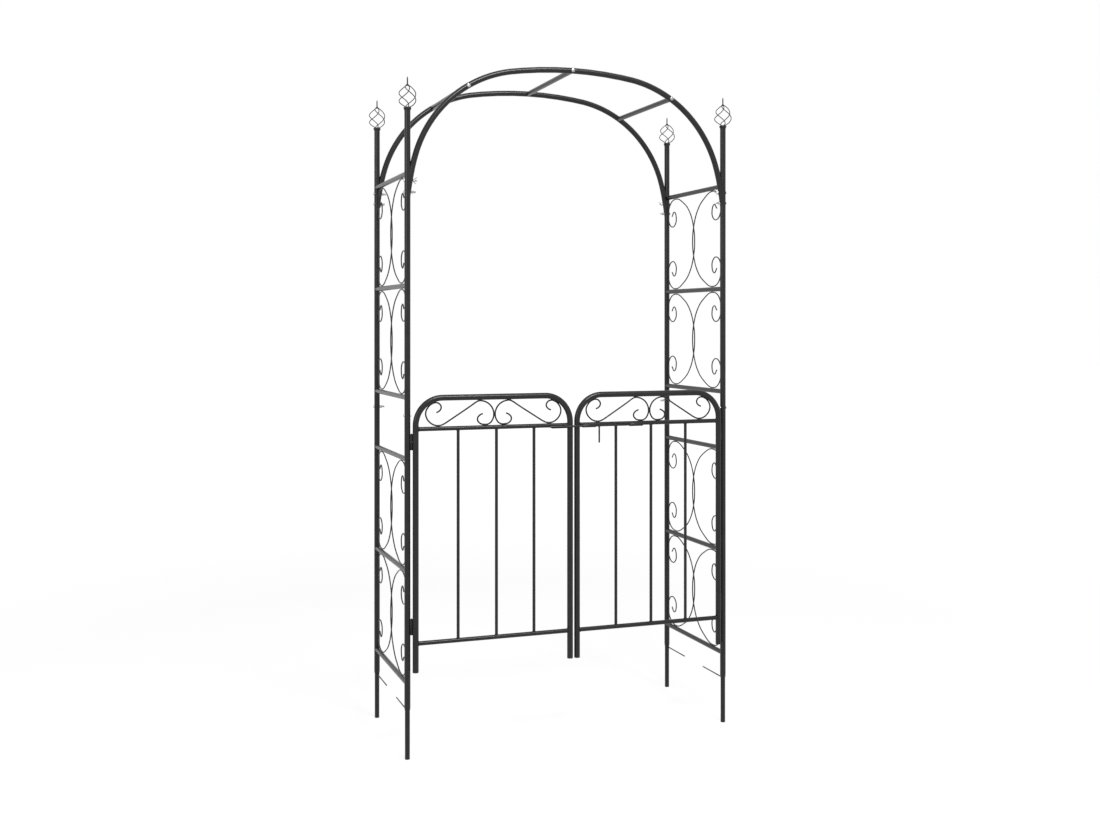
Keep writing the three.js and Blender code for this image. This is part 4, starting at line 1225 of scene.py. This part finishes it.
class ARCH_OT_hinge_pins(Operator):
    """Model the post's half of each hinge with its pin"""

    bl_idname = "garden_arch.hinge_pins"
    bl_label = "Hinge pins"

    def execute(self, context):
        radius = PIN_DIAMETER / 2
        for side, sign in SIDES.items():
            for end in HINGE_ENDS:
                middle = hinge_middle(side, end)
                top = middle - KNUCKLE_GAP / 2
                head = middle + HINGE_LENGTH / 2
                pin = turned([(radius, top),
                              *profile(PIN_HEAD_SHARES, radius, PIN_STICKOUT, head)], sides=24)
                barrel, *beads = knuckle(sign, middle - HINGE_LENGTH / 2, top, POST_X, -POST_Y)
                pin = placed(pin, (sign * HINGE_X, HINGE_Y, 0))
                delivered(joined([barrel, pin, *beads]), f"hinge_pin_{side}_{end}", "knuckle")
        return {"FINISHED"}


class ARCH_OT_latch(Operator):
    """Model the sliding latch rod with its hanging handle"""

    bl_idname = "garden_arch.latch"
    bl_label = "Latch rod"

    def execute(self, context):
        size = sizes()
        low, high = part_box("latch_bolt")
        rod = bar((low.x, LATCH_Y, LATCH_Z), (high.x, LATCH_Y, LATCH_Z),
                  size.latch_rod_diameter, rounding=1.2 * MM)
        foot = (HANDLE_X, LATCH_Y, LATCH_Z - HANDLE_LENGTH)
        handle = bar(foot, (HANDLE_X, LATCH_Y, LATCH_Z), size.handle_diameter,
                     rounding=1.4 * MM)
        bead_z = LATCH_Z - size.latch_rod_diameter / 2
        bead = weld_ring((HANDLE_X, LATCH_Y, bead_z), (0, 0, -1), size.handle_diameter / 2)
        delivered(joined([rod, handle, bead]), "latch_bolt", "rod", "latch_bolt")
        return {"FINISHED"}


# Studio

FLOOR_SIZE = 60
FLOOR_GREY = (0.8, 0.8, 0.8, 1)  # as the object's light meets it
SEEN_GREY = (0.2, 0.2, 0.2, 1)  # as the camera sees it, under its own glow
FADE = (2.5, 7.0)  # metres from the middle, where the floor fades to white
GLOW = (0.88, 1.0)  # before and after that fade
KEY_PLACE = (0.3, -3.9, 5.2)
KEY_SIZE = (2.6, 0.8)
FILL_PLACE = (-4.2, -2.4, 2.6)
FILL_SIZE = (1.6, 1.6)
SENSOR_WIDTH = 36  # millimetres


def shadow_floor():
    """White to the camera and in reflections, with the object's shadow near the middle."""
    material, tree, shader, coordinates = new_material("floor")
    tree.nodes.remove(shader)
    plain = node(tree, "ShaderNodeBsdfDiffuse", Color=FLOOR_GREY)
    dim = node(tree, "ShaderNodeBsdfDiffuse", Color=SEEN_GREY)
    away = node(tree, "ShaderNodeVectorMath", operation="LENGTH", Vector=coordinates)
    fade = node(tree, "ShaderNodeMapRange", Value=away.outputs["Value"], From_Min=FADE[0],
                From_Max=FADE[1], To_Min=GLOW[0], To_Max=GLOW[1])
    glow = node(tree, "ShaderNodeEmission", Strength=fade.outputs["Result"])
    seen = node(tree, "ShaderNodeAddShader")
    tree.links.new(dim.outputs[0], seen.inputs[0])
    tree.links.new(glow.outputs[0], seen.inputs[1])
    mixed = node(tree, "ShaderNodeMixShader", Fac=seen_ray(tree))
    tree.links.new(plain.outputs[0], mixed.inputs[1])
    tree.links.new(seen.outputs[0], mixed.inputs[2])
    tree.links.new(mixed.outputs[0], tree.nodes["Material Output"].inputs["Surface"])
    return material


def seen_ray(tree):
    """1 for rays from the camera, off gloss and through glass, 0 for the light itself."""
    path = node(tree, "ShaderNodeLightPath")
    seen = path.outputs["Is Camera Ray"]
    for kind in ("Is Glossy Ray", "Is Transmission Ray"):
        either = node(tree, "ShaderNodeMath", operation="MAXIMUM")
        tree.links.new(seen, either.inputs[0])
        tree.links.new(path.outputs[kind], either.inputs[1])
        seen = either.outputs[0]
    return seen


def white_world(sky_light):
    world = bpy.data.worlds.new("studio")
    bpy.context.scene.world = world
    world.use_nodes = True
    tree = world.node_tree
    strength = node(tree, "ShaderNodeMapRange", Value=seen_ray(tree), To_Min=sky_light,
                    To_Max=1.0)
    set_inputs(tree.nodes["Background"],
               {"Color": (1, 1, 1, 1), "Strength": strength.outputs["Result"]})


def lamp(name, place, size, power):
    """A rectangular lamp that points at the arch's middle."""
    deselect()
    bpy.ops.object.light_add(type="AREA", location=place)
    light = bpy.context.object
    light.name = name
    light.data.shape = "RECTANGLE"
    light.data.size, light.data.size_y = size
    light.data.energy = power
    direction = Vector((0, 0, ARCH_TOP_Z / 2)) - Vector(place)
    light.rotation_euler = direction.to_track_quat("-Z", "Y").to_euler()


class ARCH_OT_studio(Operator):
    """Set up the floor, the light and the camera"""

    bl_idname = "garden_arch.studio"
    bl_label = "Studio"

    def execute(self, context):
        studio = context.scene.arch_studio
        deselect()
        bpy.ops.mesh.primitive_plane_add(size=FLOOR_SIZE)
        floor = context.object
        floor.name = "floor"
        floor.data.materials.append(shadow_floor())
        white_world(studio.sky_light)
        lamp("key", KEY_PLACE, KEY_SIZE, studio.key_power)
        lamp("fill", FILL_PLACE, FILL_SIZE, studio.fill_power)
        bpy.ops.object.camera_add(location=studio.camera_place,
                                  rotation=(math.pi / 2, 0, studio.camera_turn))
        camera = context.object
        camera.data.sensor_width = SENSOR_WIDTH
        camera.data.lens = studio.focal_length
        camera.data.shift_y = studio.lens_shift
        context.scene.camera = camera
        context.scene.view_settings.view_transform = "Standard"
        return {"FINISHED"}


OPERATORS = (
    ARCH_OT_posts, ARCH_OT_stakes, ARCH_OT_finials, ARCH_OT_bows, ARCH_OT_arch_rungs,
    ARCH_OT_foot_bolts, ARCH_OT_seam_bolts, ARCH_OT_side_rungs, ARCH_OT_side_scrolls,
    ARCH_OT_gate_frames, ARCH_OT_gate_grilles, ARCH_OT_gate_scrolls, ARCH_OT_hinge_pins,
    ARCH_OT_latch, ARCH_OT_studio,
)
GROUPS = {"arch_sizes": ArchSizes, "arch_finish": ArchFinish, "arch_studio": ArchStudio}


class ARCH_PT_pieces(Panel):
    """Lists the arch's sizes and its operators"""

    bl_label = "Garden arch"
    bl_idname = "ARCH_PT_pieces"
    bl_space_type = "VIEW_3D"
    bl_region_type = "UI"
    bl_category = "Garden arch"

    def draw(self, context):
        layout = self.layout
        for group in GROUPS:
            values = getattr(context.scene, group)
            column = layout.column(align=True)
            for key in values.__annotations__:
                column.prop(values, key)
        for operator in OPERATORS:
            layout.operator(operator.bl_idname)


CLASSES = (*GROUPS.values(), *OPERATORS, ARCH_PT_pieces)


def register():
    for item in CLASSES:
        bpy.utils.register_class(item)
    for name, group in GROUPS.items():
        setattr(bpy.types.Scene, name, PointerProperty(type=group))


def unregister():
    for name in GROUPS:
        delattr(bpy.types.Scene, name)
    for item in reversed(CLASSES):
        bpy.utils.unregister_class(item)


def main():
    register()
    for operator in OPERATORS:
        group, name = operator.bl_idname.split(".")
        getattr(getattr(bpy.ops, group), name)()


if __name__ == "__main__":
    main()
